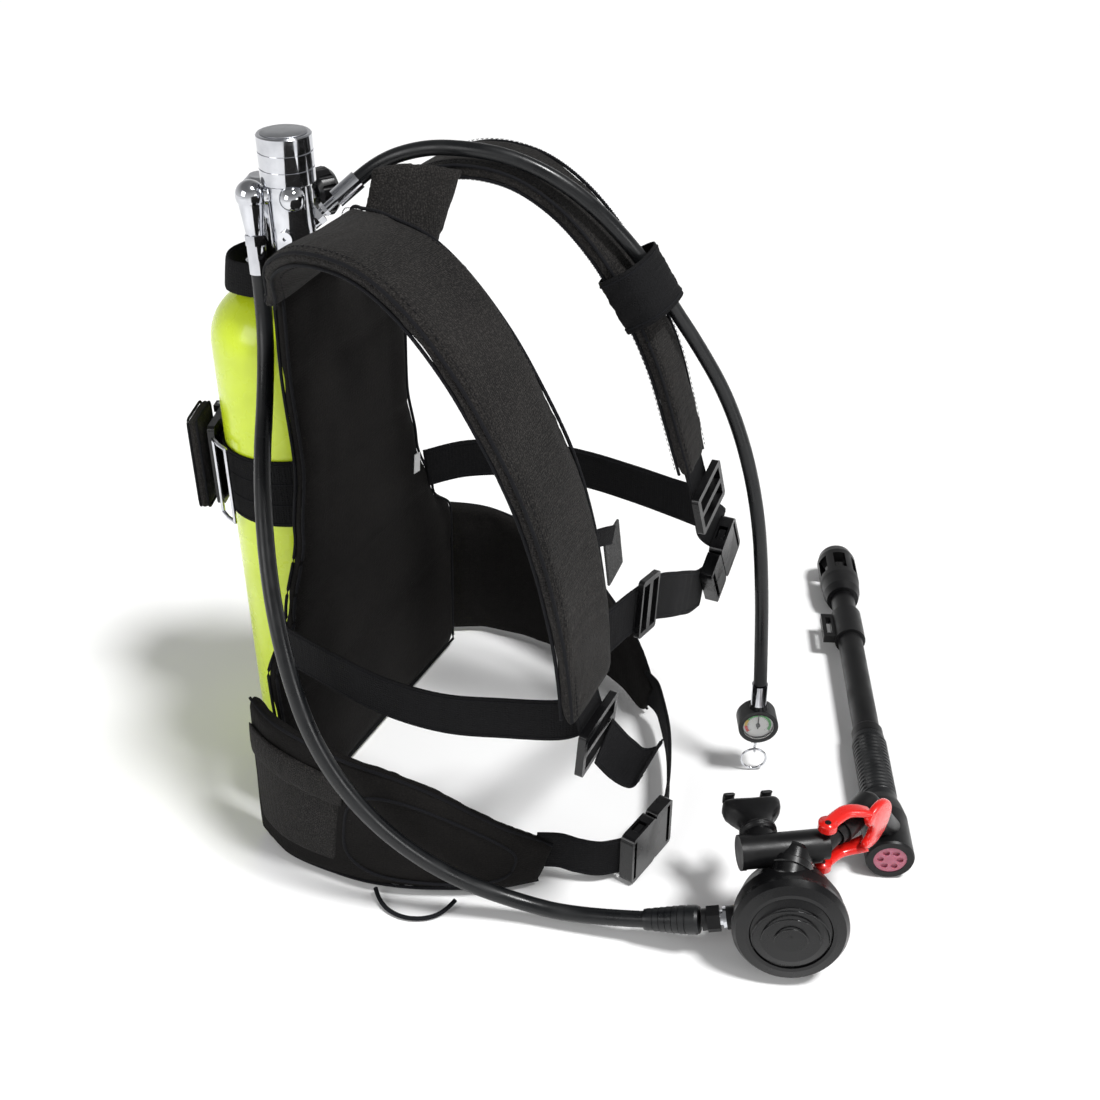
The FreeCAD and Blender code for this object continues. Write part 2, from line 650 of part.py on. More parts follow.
def snorkel_elbow():
    first = rod(PIVOT + LEVER_DIR * 21, LEVER_DIR, 10.6, 41)
    knee = Part.makeSphere(10.6, ELBOW_A)
    drop = unit(ELBOW_B - ELBOW_A)
    second = rod(ELBOW_A, drop, 10.6, (ELBOW_B - ELBOW_A).Length)
    elbow = first.fuse([knee, second])
    bore = rod(PIVOT + LEVER_DIR * 20, LEVER_DIR, 8.55, 42)
    bore = bore.fuse([Part.makeSphere(8.4, ELBOW_A),
                      rod(ELBOW_A, drop, 8.4, (ELBOW_B - ELBOW_A).Length + 5)])
    elbow = elbow.cut(bore).cut(rod(sn(0), SNORKEL_AXIS, CHAMBER_R, 90))
    return max(elbow.Solids, key=lambda s: s.Volume)


# ---- snorkel ---------------------------------------------------------------------
def lower_chamber():
    body = turned(sn(0), SNORKEL_AXIS, [(13.6, 0.2), (19, 0.2), (CHAMBER_R, 2), (CHAMBER_R, 44),
                                        (17.5, 58), (15.2, 66), (12.4, 66), (12.4, 62),
                                        (15.5, 52), (18, 42), (18, 6), (13.6, 6)])
    drop = unit(ELBOW_B - ELBOW_A)
    return body.cut(rod(ELBOW_A, drop, 8.4, (ELBOW_B - ELBOW_A).Length + 4))


def purge_seat():
    """Spoked seat with a thin flap, closing the chamber's end."""
    disc = rod(sn(0.8), SNORKEL_AXIS, 13.55, 1.6)
    holes = []
    x = side_of(SNORKEL_AXIS)
    y = SNORKEL_AXIS.cross(x)
    for k in range(6):
        t = math.pi * k / 3
        holes.append(rod(sn(0) + x * (8 * math.cos(t)) + y * (8 * math.sin(t)),
                         SNORKEL_AXIS, 2.8, 4))
    return disc.cut(Part.makeCompound(holes))


def purge_flap():
    return rod(sn(2.6), SNORKEL_AXIS, 12.6, 1.0)


def flex_section():
    """Corrugated elastomer length between the chamber and the tube."""
    start, end, count = 66.3, 150.0, 16
    step = (end - start - 12) / count
    outer = [(15.0, start), (15.0, start + 6)]
    for k in range(count):
        a = start + 6 + k * step
        outer += [(15.4, a + 0.2 * step), (15.4, a + 0.6 * step), (13.8, a + 0.8 * step)]
    outer += [(14.4, end - 5), (14.4, end)]
    return turned(sn(0), SNORKEL_AXIS, [(11.0, start)] + outer + [(11.0, end)])


def snorkel_tube():
    return turned(sn(0), SNORKEL_AXIS, [(9.8, 151), (14.0, 151), (14.0, 160), (SNORKEL_R, 163),
                                        (SNORKEL_R, 384), (9.8, 384)])


def snorkel_keeper():
    f = Frame(sn(300), SNORKEL_AXIS, UP)
    ring = f.rod(0, 0, 0, "a", SNORKEL_R + 3, 42).cut(f.rod(-1, 0, 0, "a", SNORKEL_R + 0.06, 44))
    hook = f.block((2, 40), (12, 26), (-4, 4), 0)
    hook = hook.cut(f.block((8, 34), (17, 22), (-5, 5), 0))
    hook = hook.cut(f.rod(-1, 0, 0, "a", SNORKEL_R + 1, 44))
    return ring.fuse(hook).removeSplitter()


def dry_top():
    """Cage at the top of the snorkel, open at its sides."""
    body = turned(sn(0), SNORKEL_AXIS, [(12.05, 372), (16, 372), (18.5, 382), (19.5, 396),
                                        (CHAMBER_R, 400), (CHAMBER_R, 440), (17.5, 450),
                                        (10, 455), (0, 455), (0, 452), (9, 452), (15.5, 447.5),
                                        (17.6, 439), (17.6, 402), (16.5, 398), (9.9, 386),
                                        (9.9, 384.3), (12.05, 384.3)])
    windows = []
    for k in range(6):
        t = math.pi * (k + 0.5) / 3
        f = Frame(sn(420), SNORKEL_AXIS, UP * math.sin(t) + SNORKEL_AXIS.cross(UP) * math.cos(t))
        windows.append(f.block((-13, 13), (-6.2, 6.2), (12, 24), 0))
    return body.cut(Part.makeCompound(windows)).removeSplitter()


def dry_float():
    return turned(sn(0), SNORKEL_AXIS, [(0, 404), (13.5, 404), (15.5, 406), (15.5, 421),
                                        (13.5, 423), (0, 423)])


# ---- harness ---------------------------------------------------------------------
X = V(1, 0, 0)
PANEL_FRONT_Y = -58.0


def back_panel():
    """Padded panel between the cylinder and the wearer, wider towards the waist."""
    y = PANEL_FRONT_Y
    outline = [(-86, 470), (-88, 400), (-84, 320), (-94, 262), (-118, 198), (-150, 160), (-143, 4),
               (143, 4), (150, 160), (118, 198), (94, 262), (84, 320), (88, 400), (86, 470)]
    pts = [V(x, y, z) for x, z in outline]
    face = Part.Face(Part.makePolygon(pts + pts[:1]))
    return face.extrude(V(0, -PANEL_T, 0))


RIGHT_LINE = [(-63, -84, 484, 92), (-90, -108, 511, 88), (-113, -145, 527, 84),
              (-126, -187, 527, 84), (-135, -223, 511, 84), (-140, -256, 480, 84),
              (-142, -282, 442, 84), (-140, -303, 398, 84), (-136, -317, 347, 82),
              (-130, -325, 290, 78), (-127, -328, 250, 75), (-126, -329, 214, 70)]
LEFT_LINE = [(50, -84, 484, 88), (53, -108, 514, 84), (59, -145, 532, 74),
             (65, -187, 530, 66), (70, -223, 511, 61), (72, -256, 479, 57),
             (74, -282, 439, 54), (77, -303, 395, 52), (82, -317, 345, 48),
             (91, -327, 296, 42)]


def shoulder_strap(line):
    return band([(V(x, y, z), X, w) for x, y, z, w in line], STRAP_T)


def yoke_collar():
    """Padded collar behind the neck, between the two straps."""
    return band([(V(-43, -154, 529), V(-0.1, -0.98, 0.15), 56),
                 (V(-24, -149, 531), V(0, -0.95, 0.3), 66),
                 (V(9, -146, 533), V(0, -0.93, 0.36), 62)], 9)


# centre line of a hip wing on the floor, with the wing's height and sideways lean
WING = [(160, -52, 152, 0.0), (177, -90, 146, 0.0), (179, -140, 134, 0.0),
        (171, -185, 120, 0.03), (158, -222, 98, 0.03), (139, -260, 70, 0.0),
        (113, -291, 42, 0.0)]
WING_FOOT = 2.0


def waist_wing(sign):
    """Padded hip wing, standing on its lower edge."""
    stations = []
    for x, y, height, lean in WING:
        middle = V(sign * x, y, WING_FOOT + height / 2)
        stations.append((middle, unit(V(-sign * lean, 0, 1)), height))
    return band(stations, 12)


BAND_Z = (237.0, 299.0)
BAND_R = CYL_R + 0.3


def around(r, degrees, z):
    """A point at a radius and bearing about the cylinder's axis."""
    t = math.radians(degrees)
    return V(r * math.cos(t), r * math.sin(t), z)


def cylinder_band():
    return pipe(V(0, 0, BAND_Z[0]), UP, BAND_R + WEB_T, BAND_R, BAND_Z[1] - BAND_Z[0])


CAM_BEARING = 110.0
CAM = Frame(around(BAND_R + WEB_T + 0.3, CAM_BEARING, 274), UP, around(1, CAM_BEARING, 0))
HINGE_C = 8.0                # height of the cam hinge above the band
HINGE_B = 21.0
LEVER_C = (12.2, 23.0)        # underside and top of the padded lever


def cam_body():
    """Base plate with two cheeks that carry the lever's pin."""
    f = CAM
    plate = f.block((-37, 37), (-25, 25), (0, 6), 4)
    cheeks = [f.block((s - 3, s + 3), (HINGE_B - 6, HINGE_B + 4), (5.5, HINGE_C + 4), 0)
              for s in (-34, 34)]
    body = plate.fuse(cheeks).cut(rod(ORIGIN + UP * 220, UP, BAND_R + WEB_T + 0.2, 100))
    body = body.cut(f.block((-24, 24), (-14, 10), (-4, 8), 0))
    body = body.cut(f.block((-30.5, 30.5), (HINGE_B - 8, HINGE_B + 5), (2.5, 14), 0))
    return body.cut(f.rod(-40, HINGE_B, HINGE_C, "a", 2.05, 80)).removeSplitter()


def cam_lever():
    """Padded over-centre lever that lies over the base plate."""
    f = CAM
    block = f.block((-42, 44), (-27, HINGE_B - 5), (LEVER_C[0], LEVER_C[1]), 5)
    block = block.makeFillet(3.0, [e for e in block.Edges
                                   if abs((e.CenterOfMass - f.o).dot(f.c) - LEVER_C[1]) < 0.1])
    knuckle = f.rod(-30, HINGE_B, HINGE_C, "a", 4.6, 60)
    web = f.block((-30, 30), (8, HINGE_B), (HINGE_C - 1, HINGE_C + 4.5), 0)
    neck = f.block((-30, 30), (8, HINGE_B - 5), (HINGE_C, 14), 0)
    pin = f.rod(-37, HINGE_B, HINGE_C, "a", 2.0, 74)
    return block.fuse([knuckle, web, neck, pin]).removeSplitter()


def cam_bail():
    """Chrome wire that ties the buckle to the band's end bar."""
    levels = (BAND_Z[0] - 4, BAND_Z[1] + 4)
    wire = []
    for z in levels:
        route = [around(64, 137, z), around(63, 147, z), around(62, 157, z)]
        for p, q in zip(route, route[1:]):
            wire.append(rod(p, q - p, 1.7, (q - p).Length))
        wire.append(Part.makeSphere(1.7, route[1]))
        wire.append(Part.makeSphere(1.7, route[2]))
        wire.append(Part.makeSphere(1.7, route[0]))
    for bearing, r in ((137, 64), (157, 62)):
        wire.append(rod(around(r, bearing, levels[0]), UP, 1.7, levels[1] - levels[0]))
    return wire[0].fuse(wire[1:]).removeSplitter()


def neck_strap():
    """Retaining strap from the panel round the back of the cylinder's shoulder."""
    half = [(24, -54.6, 452), (33, -34, 450), (35, -4, 446), (26, 23, 444)]
    route = [V(-x, y, z) for x, y, z in half] + [V(0, 35, 443)]
    route += [V(x, y, z) for x, y, z in half[::-1]]
    stations = []
    for p in route:
        lean = unit(V(p.x, max(p.y, 0), 0)) * -0.15
        stations.append((p, unit(UP + lean), 26))
    return band(stations, 2.6)


def side_band_right():
    route = [(-141, -75, 194), (-152, -120, 194), (-157, -175, 187), (-153, -225, 184),
             (-143, -272, 188), (-134, -308, 192)]
    return band([(V(*p), UP, BELT_W) for p in route], WEB_T)


def side_band_left():
    route = [(104, -76, 226), (128, -100, 230), (148, -150, 232), (152, -205, 232),
             (146, -255, 232), (128, -302, 238), (113, -326, 246)]
    return band([(V(*p), UP, BELT_W) for p in route], WEB_T)


def buckle_frame(origin, along, width, length, bars):
    """A flat moulded frame with slots between its bars."""
    f = Frame(origin, along, V(0, -1, 0))
    plate = f.block((-length / 2, length / 2), (-width / 2, width / 2), (0, 6), 3.5)
    pitch = (length - 5.0) / bars
    slots = [f.block((-length / 2 + 5 + k * pitch, -length / 2 + 5 + k * pitch + pitch - 5),
                     (-width / 2 + 5, width / 2 - 5), (-1, 7), 0) for k in range(bars)]
    return plate.cut(Part.makeCompound(slots))


def ladder_lock_right():
    return buckle_frame(V(-124, -335, 183), V(0, 0.08, -1), 60, 40, 2)


def ladder_lock_left():
    return buckle_frame(V(104, -336, 262), V(0.3, -0.1, -1), 52, 40, 2)


def webbing_tail():
    """Spare webbing that turns up below the right ladder lock."""
    hook = [(-124, -346, 176), (-121, -356, 164), (-118, -367, 157), (-116, -375, 160),
            (-116, -379, 168)]
    return band([(V(*p), X, 46) for p in hook], WEB_T)


def webbing_tab():
    return Frame(V(-70, -324, 306), V(0.25, 0, -1), V(0, -1, 0)).block((-22, 22), (-13, 13),
                                                                     (0, 2.4), 0)


def left_drop_webbing():
    route = [(112, -334.4, 238), (126, -335.4, 224), (142, -336.4, 211), (150, -336.4, 204)]
    w = unit(V(0.62, 0, 0.78))
    return band([(V(*p), w, BELT_W) for p in route], WEB_T)


def sternum_webbing():
    route = [(112, -336.4, 168), (84, -337.5, 179), (50, -341, 200), (14, -344, 222),
             (-24, -341, 242), (-60, -337, 250), (-82, -333, 251)]
    w = unit(V(0.3, 0, 0.95))
    return band([(V(*p), w, BELT_W) for p in route], WEB_T)


def triglide():
    f = Frame(V(-44, -336.5, 250), V(-1, 0.1, 0.14), V(0, -1, 0))
    body = f.block((-14, 14), (-24, 24), (5.0, 9.5), 3)
    slots = [f.block((s - 4.5, s + 4.5), (-19.6, 19.6), (3, 11), 0) for s in (-7.2, 7.2)]
    return body.cut(Part.makeCompound(slots))


def buckle_housing(f):
    """Female half of a side-release buckle; c is its outward side."""
    body = f.block((-4, 33), (-24, 24), (0, 12), 5)
    body = body.cut(f.block((-5, 24), (-20.5, 20.5), (2.5, 9.5), 0))
    body = body.cut(f.block((8, 21), (-26, -19), (2.0, 10), 0))
    body = body.cut(f.block((8, 21), (19, 26), (2.0, 10), 0))
    return body.cut(f.block((26.5, 30), (-20, 20), (-1, 13), 0)).removeSplitter()


def buckle_plug(f):
    """Male half: base bar, guide tongue, without its two sprung arms."""
    base = f.block((-30, -4.6), (-24, 24), (0.5, 11.5), 4)
    base = base.cut(f.block((-26.5, -22), (-20, 20), (-1, 13), 0))
    tongue = f.block((-8, 18), (-3.5, 3.5), (3.5, 8.5), 0)
    base = base.fuse(tongue)
    pockets = [f.block((-17, -4), (min(s * 9, s * 22.5), max(s * 9, s * 22.5)), (2.4, 9.6), 0)
               for s in (-1, 1)]
    return base.cut(Part.makeCompound(pockets)).removeSplitter()


ARM_PIVOT_A = -13.0
ARM_PIVOT_B = 13.5


def buckle_arm(f, side):
    """Sprung arm with a thumb pad that shows through the housing's side window."""
    root = f.rod(ARM_PIVOT_A, side * ARM_PIVOT_B, 3.4, "c", 2.4, 5.2)
    lo, hi = sorted((side * 12.2, side * 15.0))
    bar = f.block((ARM_PIVOT_A, 10), (lo, hi), (3.4, 8.6), 0)
    lo, hi = sorted((side * 12.2, side * 22.6))
    pad = f.block((9, 19.5), (lo, hi), (3.4, 8.6), 1.5)
    return bar.fuse([root, pad]).removeSplitter()


STERNUM = Frame(V(132, -338, 184), V(0.85, 0, 0.5), V(0, -1, 0))
WAIST = Frame(V(-56, -352, 25.5), V(-0.986, 0.17, 0), V(-0.17, -0.986, 0))


def waist_webbing_right():
    route = [(-109, -300.5, 34), (-104, -316, 30), (-97, -332, 27), (-88.5, -344.2, 26)]
    return band([(V(*p), UP, BELT_W) for p in route], WEB_T)


def waist_webbing_left():
    route = [(109, -300.5, 34), (92, -313, 32), (58, -332, 31), (24, -346, 29), (-6, -356, 27),
             (-24, -360, 26)]
    return band([(V(*p), UP, BELT_W) for p in route], WEB_T)


SLEEVE = Frame(V(73.5, -278, 445), V(3, -26, -41), V(0, -0.85, 0.52))


def hose_sleeve():
    """Fabric cuff that holds the gauge hose against the left strap."""
    f = SLEEVE
    cuff = f.block((-22, 22), (-32, 32), (-12, 29), 0)
    return cuff.cut(f.block((-23, 23), (-30, 30), (-10, 27), 0))


ELASTIC_R = 1.8


def elastic_loop():
    """Thin elastic loop of the hip wing, lying on the floor."""
    route = [V(-185, -172, 6), V(-196, -182, 3), V(-201, -204, 2.2), V(-194, -223, 2.2),
             V(-181, -234, 3), V(-169, -237, 6)]
    return hose(route, ELASTIC_R)


# ---- groups that share a node ----------------------------------------------------
def group(*solids):
    return Part.makeCompound([p for s in solids for p in s.Solids])


def port_fittings():
    return group(dome_port_plug(), port_plug(), valve_bonnet(), inlet_coupling(),
                 lp_hose_nut(), hose_nut())


def hose_ferrules():
    return group(lp_ferrule(), upper_ferrule(), gauge_ferrule())


def wire_clips():
    return group(cam_bail(), gauge_clip())


def purge_valve():
    return group(purge_seat(), purge_flap())


def hip_wings():
    return group(waist_wing(-1), waist_wing(1))


def side_bands():
    return group(side_band_right(), side_band_left())


def belt_webbing():
    return group(sternum_webbing(), waist_webbing_right(), waist_webbing_left())


def webbing_ends():
    return group(left_drop_webbing(), webbing_tail(), webbing_tab())


def strap_adjusters():
    return group(ladder_lock_right(), ladder_lock_left(), triglide())


def buckle_housings():
    return group(buckle_housing(WAIST), buckle_housing(STERNUM))


def buckle_plugs():
    return group(buckle_plug(WAIST), buckle_plug(STERNUM))


# ---- all pieces ------------------------------------------------------------------
PIECES = {
    "cylinder": cylinder,
    "valve_body": valve_body,
    "valve_seat_plug": valve_seat_plug,
    "valve_stem": valve_stem,
    "valve_handwheel": valve_handwheel,
    "first_stage_body": first_stage_body,
    "first_stage_cap": first_stage_cap,
    "main_piston": main_piston,
    "main_spring": main_spring,
    "port_fittings": port_fittings,
    "lp_elbow": lp_elbow,
    "hose_ferrules": hose_ferrules,
    "lp_hose": lambda: hose(LP_ROUTE, LP_R),
    "gauge_fitting": gauge_fitting,
    "gauge_hose": lambda: hose(GAUGE_ROUTE, GAUGE_HOSE_R),
    "gauge_boot": gauge_boot,
    "gauge_case": gauge_case,
    "gauge_needle": gauge_needle,
    "gauge_lens": gauge_lens,
    "bourdon_tube": bourdon_tube,
    "wire_clips": wire_clips,
    "split_ring": split_ring,
    "second_stage_case": second_stage_case,
    "cover_ring": cover_ring,
    "purge_button": purge_button,
    "purge_spring": purge_spring,
    "diaphragm": diaphragm,
    "demand_lever": demand_lever,
    "inlet_barrel": inlet_barrel,
    "poppet": poppet,
    "exhaust_tee": exhaust_tee,
    "hose_boot": hose_boot,
    "manifold_tube": manifold_tube,
    "selector_lever": selector_lever,
    "mouthpiece": mouthpiece,
    "snorkel_elbow": snorkel_elbow,
    "lower_chamber": lower_chamber,
    "purge_valve": purge_valve,
    "flex_section": flex_section,
    "snorkel_tube": snorkel_tube,
    "snorkel_keeper": snorkel_keeper,
    "dry_top": dry_top,
    "dry_float": dry_float,
    "back_panel": back_panel,
    "shoulder_strap_right": lambda: shoulder_strap(RIGHT_LINE),
    "shoulder_strap_left": lambda: shoulder_strap(LEFT_LINE),
    "yoke_collar": yoke_collar,
    "hip_wings": hip_wings,
    "hose_sleeve": hose_sleeve,
    "cylinder_band": cylinder_band,
    "cam_body": cam_body,
    "cam_lever": cam_lever,
    "neck_strap": neck_strap,
    "side_bands": side_bands,
    "belt_webbing": belt_webbing,
    "webbing_ends": webbing_ends,
    "elastic_loop": elastic_loop,
    "strap_adjusters": strap_adjusters,
    "buckle_housings": buckle_housings,
    "buckle_plugs": buckle_plugs,
    "waist_buckle_arm_low": lambda: buckle_arm(WAIST, -1),
    "waist_buckle_arm_high": lambda: buckle_arm(WAIST, 1),
    "sternum_buckle_arm_low": lambda: buckle_arm(STERNUM, -1),
    "sternum_buckle_arm_high": lambda: buckle_arm(STERNUM, 1),
}


def main():
    os.makedirs("parts", exist_ok=True)
    for name, make in PIECES.items():
        shape = make()
        if not shape.isValid() or shape.Volume <= 0:
            print("BAD", name)
        print("%-24s solids %d volume %.0f" % (name, len(shape.Solids), shape.Volume))
        shape.exportStep("parts/%s.step" % name)


main()
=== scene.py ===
"""Visual model of a compact breathing-air pack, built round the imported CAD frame.

Metres, in the frame's own axes: +Z up along the cylinder, -Y the way the wearer faces.
"""
import math

import bmesh
import bpy
from bpy.props import FloatProperty, FloatVectorProperty, PointerProperty
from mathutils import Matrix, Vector, noise
from mathutils.bvhtree import BVHTree


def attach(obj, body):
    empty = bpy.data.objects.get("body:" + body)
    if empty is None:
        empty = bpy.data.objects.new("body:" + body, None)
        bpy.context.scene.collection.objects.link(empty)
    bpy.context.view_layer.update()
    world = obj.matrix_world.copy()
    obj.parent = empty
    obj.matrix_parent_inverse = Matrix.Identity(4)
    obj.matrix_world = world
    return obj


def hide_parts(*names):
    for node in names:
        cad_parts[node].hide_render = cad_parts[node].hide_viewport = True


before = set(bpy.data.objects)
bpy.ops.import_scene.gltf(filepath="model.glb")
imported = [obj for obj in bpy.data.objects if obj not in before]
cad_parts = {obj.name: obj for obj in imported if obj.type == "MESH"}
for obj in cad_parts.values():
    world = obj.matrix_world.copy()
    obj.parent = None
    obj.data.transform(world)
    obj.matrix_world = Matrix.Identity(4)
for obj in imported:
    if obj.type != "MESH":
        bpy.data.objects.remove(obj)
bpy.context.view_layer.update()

bl_info = {
    "name": "Breathing-air pack",
    "version": (1, 0, 0),
    "blender": (4, 5, 0),
    "location": "View3D > Sidebar > Air pack",
    "description": "Builds the soft goods, hoses and finishes of a breathing-air pack",
    "category": "Object",
}

MM = 0.001
UP = Vector((0, 0, 1))
ROOT = "pack"

# ---- routes and lines, the same as the CAD source's --------------------------------
LP_ROUTE = [(-0.0447, -0.0224, 0.4586), (-0.0474, -0.0246, 0.4187), (-0.076, -0.038, 0.374),
            (-0.114, -0.056, 0.338), (-0.148, -0.077, 0.299), (-0.174, -0.097, 0.259),
            (-0.193, -0.118, 0.214), (-0.204, -0.140, 0.168), (-0.205, -0.168, 0.124),
            (-0.197, -0.202, 0.082), (-0.181, -0.243, 0.045), (-0.161, -0.287, 0.020),
            (-0.150, -0.336, 0.014), (-0.1395, -0.388, 0.0245)]
GAUGE_ROUTE = [(0.0118, -0.0796, 0.5215), (0.0233, -0.0910, 0.5332), (0.030, -0.124, 0.546),
            (0.034, -0.158, 0.549), (0.041, -0.194, 0.545), (0.050, -0.230, 0.529),
            (0.061, -0.261, 0.502), (0.073, -0.288, 0.467), (0.084, -0.306, 0.433),
            (0.096, -0.324, 0.400), (0.107, -0.347, 0.356), (0.108, -0.368, 0.305),
            (0.103, -0.384, 0.250), (0.097, -0.393, 0.194), (0.0915, -0.399, 0.140),
            (0.0885, -0.4025, 0.098)]
LOOP_ROUTE = [(-0.185, -0.172, 0.006), (-0.196, -0.182, 0.003), (-0.201, -0.204, 0.0022),
              (-0.194, -0.223, 0.0022), (-0.181, -0.234, 0.003), (-0.169, -0.237, 0.006)]

# shoulder straps: centre x, y, z and width, in millimetres
RIGHT_LINE = [(-63, -84, 484, 92), (-90, -108, 511, 88), (-113, -145, 527, 84),
              (-126, -187, 527, 84), (-135, -223, 511, 84), (-140, -256, 480, 84),
              (-142, -282, 442, 84), (-140, -303, 398, 84), (-136, -317, 347, 82),
              (-130, -325, 290, 78), (-127, -328, 250, 75), (-126, -329, 214, 70)]
LEFT_LINE = [(50, -84, 484, 88), (53, -108, 514, 84), (59, -145, 532, 74),
             (65, -187, 530, 66), (70, -223, 511, 61), (72, -256, 479, 57),
             (74, -282, 439, 54), (77, -303, 395, 52), (82, -317, 345, 48),
             (91, -327, 296, 42)]
# hip wing: x, y, height and sideways lean
WING = [(160, -52, 152, 0.0), (177, -90, 146, 0.0), (179, -140, 134, 0.0),
        (171, -185, 120, 0.03), (158, -222, 98, 0.03), (139, -260, 70, 0.0),
        (113, -291, 42, 0.0)]
WING_FOOT = 2.0
# back panel outline, x and z
PANEL = [(-86, 470), (-88, 400), (-84, 320), (-94, 262), (-118, 198), (-150, 160), (-143, 4),
         (143, 4), (150, 160), (118, 198), (94, 262), (84, 320), (88, 400), (86, 470)]
PANEL_BACK_Y = -58.0
PANEL_T = 14.0

GAUGE = Vector((0.088, -0.4035, 0.056))
DIAL_OUT = Vector((-0.88, -0.41, 0.12)).normalized()
SLEEVE_AT = Vector((0.0735, -0.278, 0.445))
CASE = Vector((-0.109, -0.493, 0.047))
BACK = Vector((0.92, 0.335, -0.20)).normalized()


# ---- settings ----------------------------------------------------------------------
def colour(name, rgb, note):
    return FloatVectorProperty(name=name, description=note, subtype="COLOR", size=3,
                               min=0.0, max=1.0, default=rgb)


def length(name, metres, note):
    return FloatProperty(name=name, description=note, default=metres, min=0.0,
                         unit="LENGTH", precision=4)


class AirPackSizes(bpy.types.PropertyGroup):
    lp_diameter: length("Supply hose", 0.013, "Outside diameter of the low-pressure hose")
    gauge_diameter: length("Gauge hose", 0.0115, "Outside diameter of the high-pressure hose")
    loop_diameter: length("Elastic", 0.0036, "Diameter of the elastic loop")
    strap_thickness: length("Strap padding", 0.0125, "Thickness of the shoulder straps")
    wing_thickness: length("Wing padding", 0.0115, "Thickness of the hip wings")
    webbing_thickness: length("Webbing", 0.0022, "Thickness of the woven tape")
    piping_radius: length("Piping", 0.0013, "Radius of the sewn edge piping")


class AirPackColours(bpy.types.PropertyGroup):
    lime: colour("Cylinder", (0.64, 0.80, 0.022), "Paint on the cylinder")
    red: colour("Selector", (0.70, 0.012, 0.008), "The selector lever")
    cloth: colour("Cloth", (0.0085, 0.0080, 0.0078), "Ground of the padded cloth")
    cloth_fleck: colour("Cloth fleck", (0.040, 0.037, 0.035), "Lighter threads in the cloth")
    webbing: colour("Webbing", (0.0045, 0.0045, 0.005), "Woven tape")
    binding: colour("Binding", (0.004, 0.0042, 0.0055), "Edge binding and piping")
    plastic: colour("Plastic", (0.0032, 0.0032, 0.0036), "Black moulded plastic")
    rubber: colour("Rubber", (0.0045, 0.005, 0.0058), "Hoses and mouthpiece")
    purge: colour("Purge disc", (0.45, 0.13, 0.19), "Translucent purge disc")


def sizes():
    return bpy.context.scene.air_pack_sizes


def colours():
    return bpy.context.scene.air_pack_colours


# ---- shader groups and materials ---------------------------------------------------
def group_tree(name, inputs):
    """A group with the named inputs, each at its default, and the three shared outputs."""
    number, colours_of = "NodeSocketFloat", "NodeSocketColor"
    tree = bpy.data.node_groups.new(name, "ShaderNodeTree")
    for label, default in inputs.items():
        kind = number if isinstance(default, float) else colours_of
        socket = tree.interface.new_socket(label, in_out="INPUT", socket_type=kind)
        socket.default_value = default
    for label, kind in (("Colour", colours_of), ("Roughness", number), ("Height", number)):
        tree.interface.new_socket(label, in_out="OUTPUT", socket_type=kind)
    return tree, tree.nodes.new("NodeGroupInput"), tree.nodes.new("NodeGroupOutput")


def texture(tree, kind, scale, **settings):
    """A 3D texture on the object's own coordinates; scale is a number or a socket."""
    where = tree.nodes.new("ShaderNodeTexCoord")
    node = tree.nodes.new(kind)
    tree.links.new(where.outputs["Object"], node.inputs["Vector"])
    if isinstance(scale, (int, float)):
        node.inputs["Scale"].default_value = scale
    else:
        tree.links.new(scale, node.inputs["Scale"])
    for key, value in settings.items():
        if hasattr(node, key):
            setattr(node, key, value)
        else:
            node.inputs[key.replace("_", " ").title()].default_value = value
    return node


def ramp(tree, source, low, high, to_low=0.0, to_high=1.0):
    node = tree.nodes.new("ShaderNodeMapRange")
    node.inputs["From Min"].default_value = low
    node.inputs["From Max"].default_value = high
    node.inputs["To Min"].default_value = to_low
    node.inputs["To Max"].default_value = to_high
    tree.links.new(source, node.inputs["Value"])
    return node.outputs["Result"]


def sums(tree, operation, a, b):
    node = tree.nodes.new("ShaderNodeMath")
    node.operation = operation
    for socket, value in zip(node.inputs, (a, b)):
        if isinstance(value, (int, float)):
            socket.default_value = value
        else:
            tree.links.new(value, socket)
    return node.outputs[0]


def blended(tree, factor, a, b):
    node = tree.nodes.new("ShaderNodeMix")
    node.data_type = "RGBA"
    tree.links.new(factor, node.inputs[0])
    tree.links.new(a, node.inputs[6])
    tree.links.new(b, node.inputs[7])
    return node.outputs[2]


def weave_group():
    """Square-set knots of thread with lighter flecks scattered through them."""
    tree, given, out = group_tree("Woven threads", {
        "Ground": (0.02, 0.02, 0.02, 1), "Fleck": (0.06, 0.06, 0.06, 1),
        "Knots per metre": 620.0, "Fleck amount": 0.5})
    knots = texture(tree, "ShaderNodeTexVoronoi", given.outputs["Knots per metre"],
                    distance="CHEBYCHEV", randomness=0.3)
    speckle = texture(tree, "ShaderNodeTexNoise", 850.0, detail=2.0)
    drift = texture(tree, "ShaderNodeTexNoise", 14.0, detail=3.0)
    lit = ramp(tree, speckle.outputs["Fac"], 0.47, 0.66)
    lit = sums(tree, "MULTIPLY", lit, given.outputs["Fleck amount"])
    lit = sums(tree, "ADD", lit, ramp(tree, drift.outputs["Fac"], 0.4, 0.7, 0.0, 0.22))
    tree.links.new(blended(tree, lit, given.outputs["Ground"], given.outputs["Fleck"]),
                   out.inputs["Colour"])
    tree.links.new(ramp(tree, speckle.outputs["Fac"], 0.3, 0.7, 0.78, 0.95),
                   out.inputs["Roughness"])
    tree.links.new(ramp(tree, knots.outputs["Distance"], 0.0, 0.75, 1.0, 0.0),
                   out.inputs["Height"])
    return tree


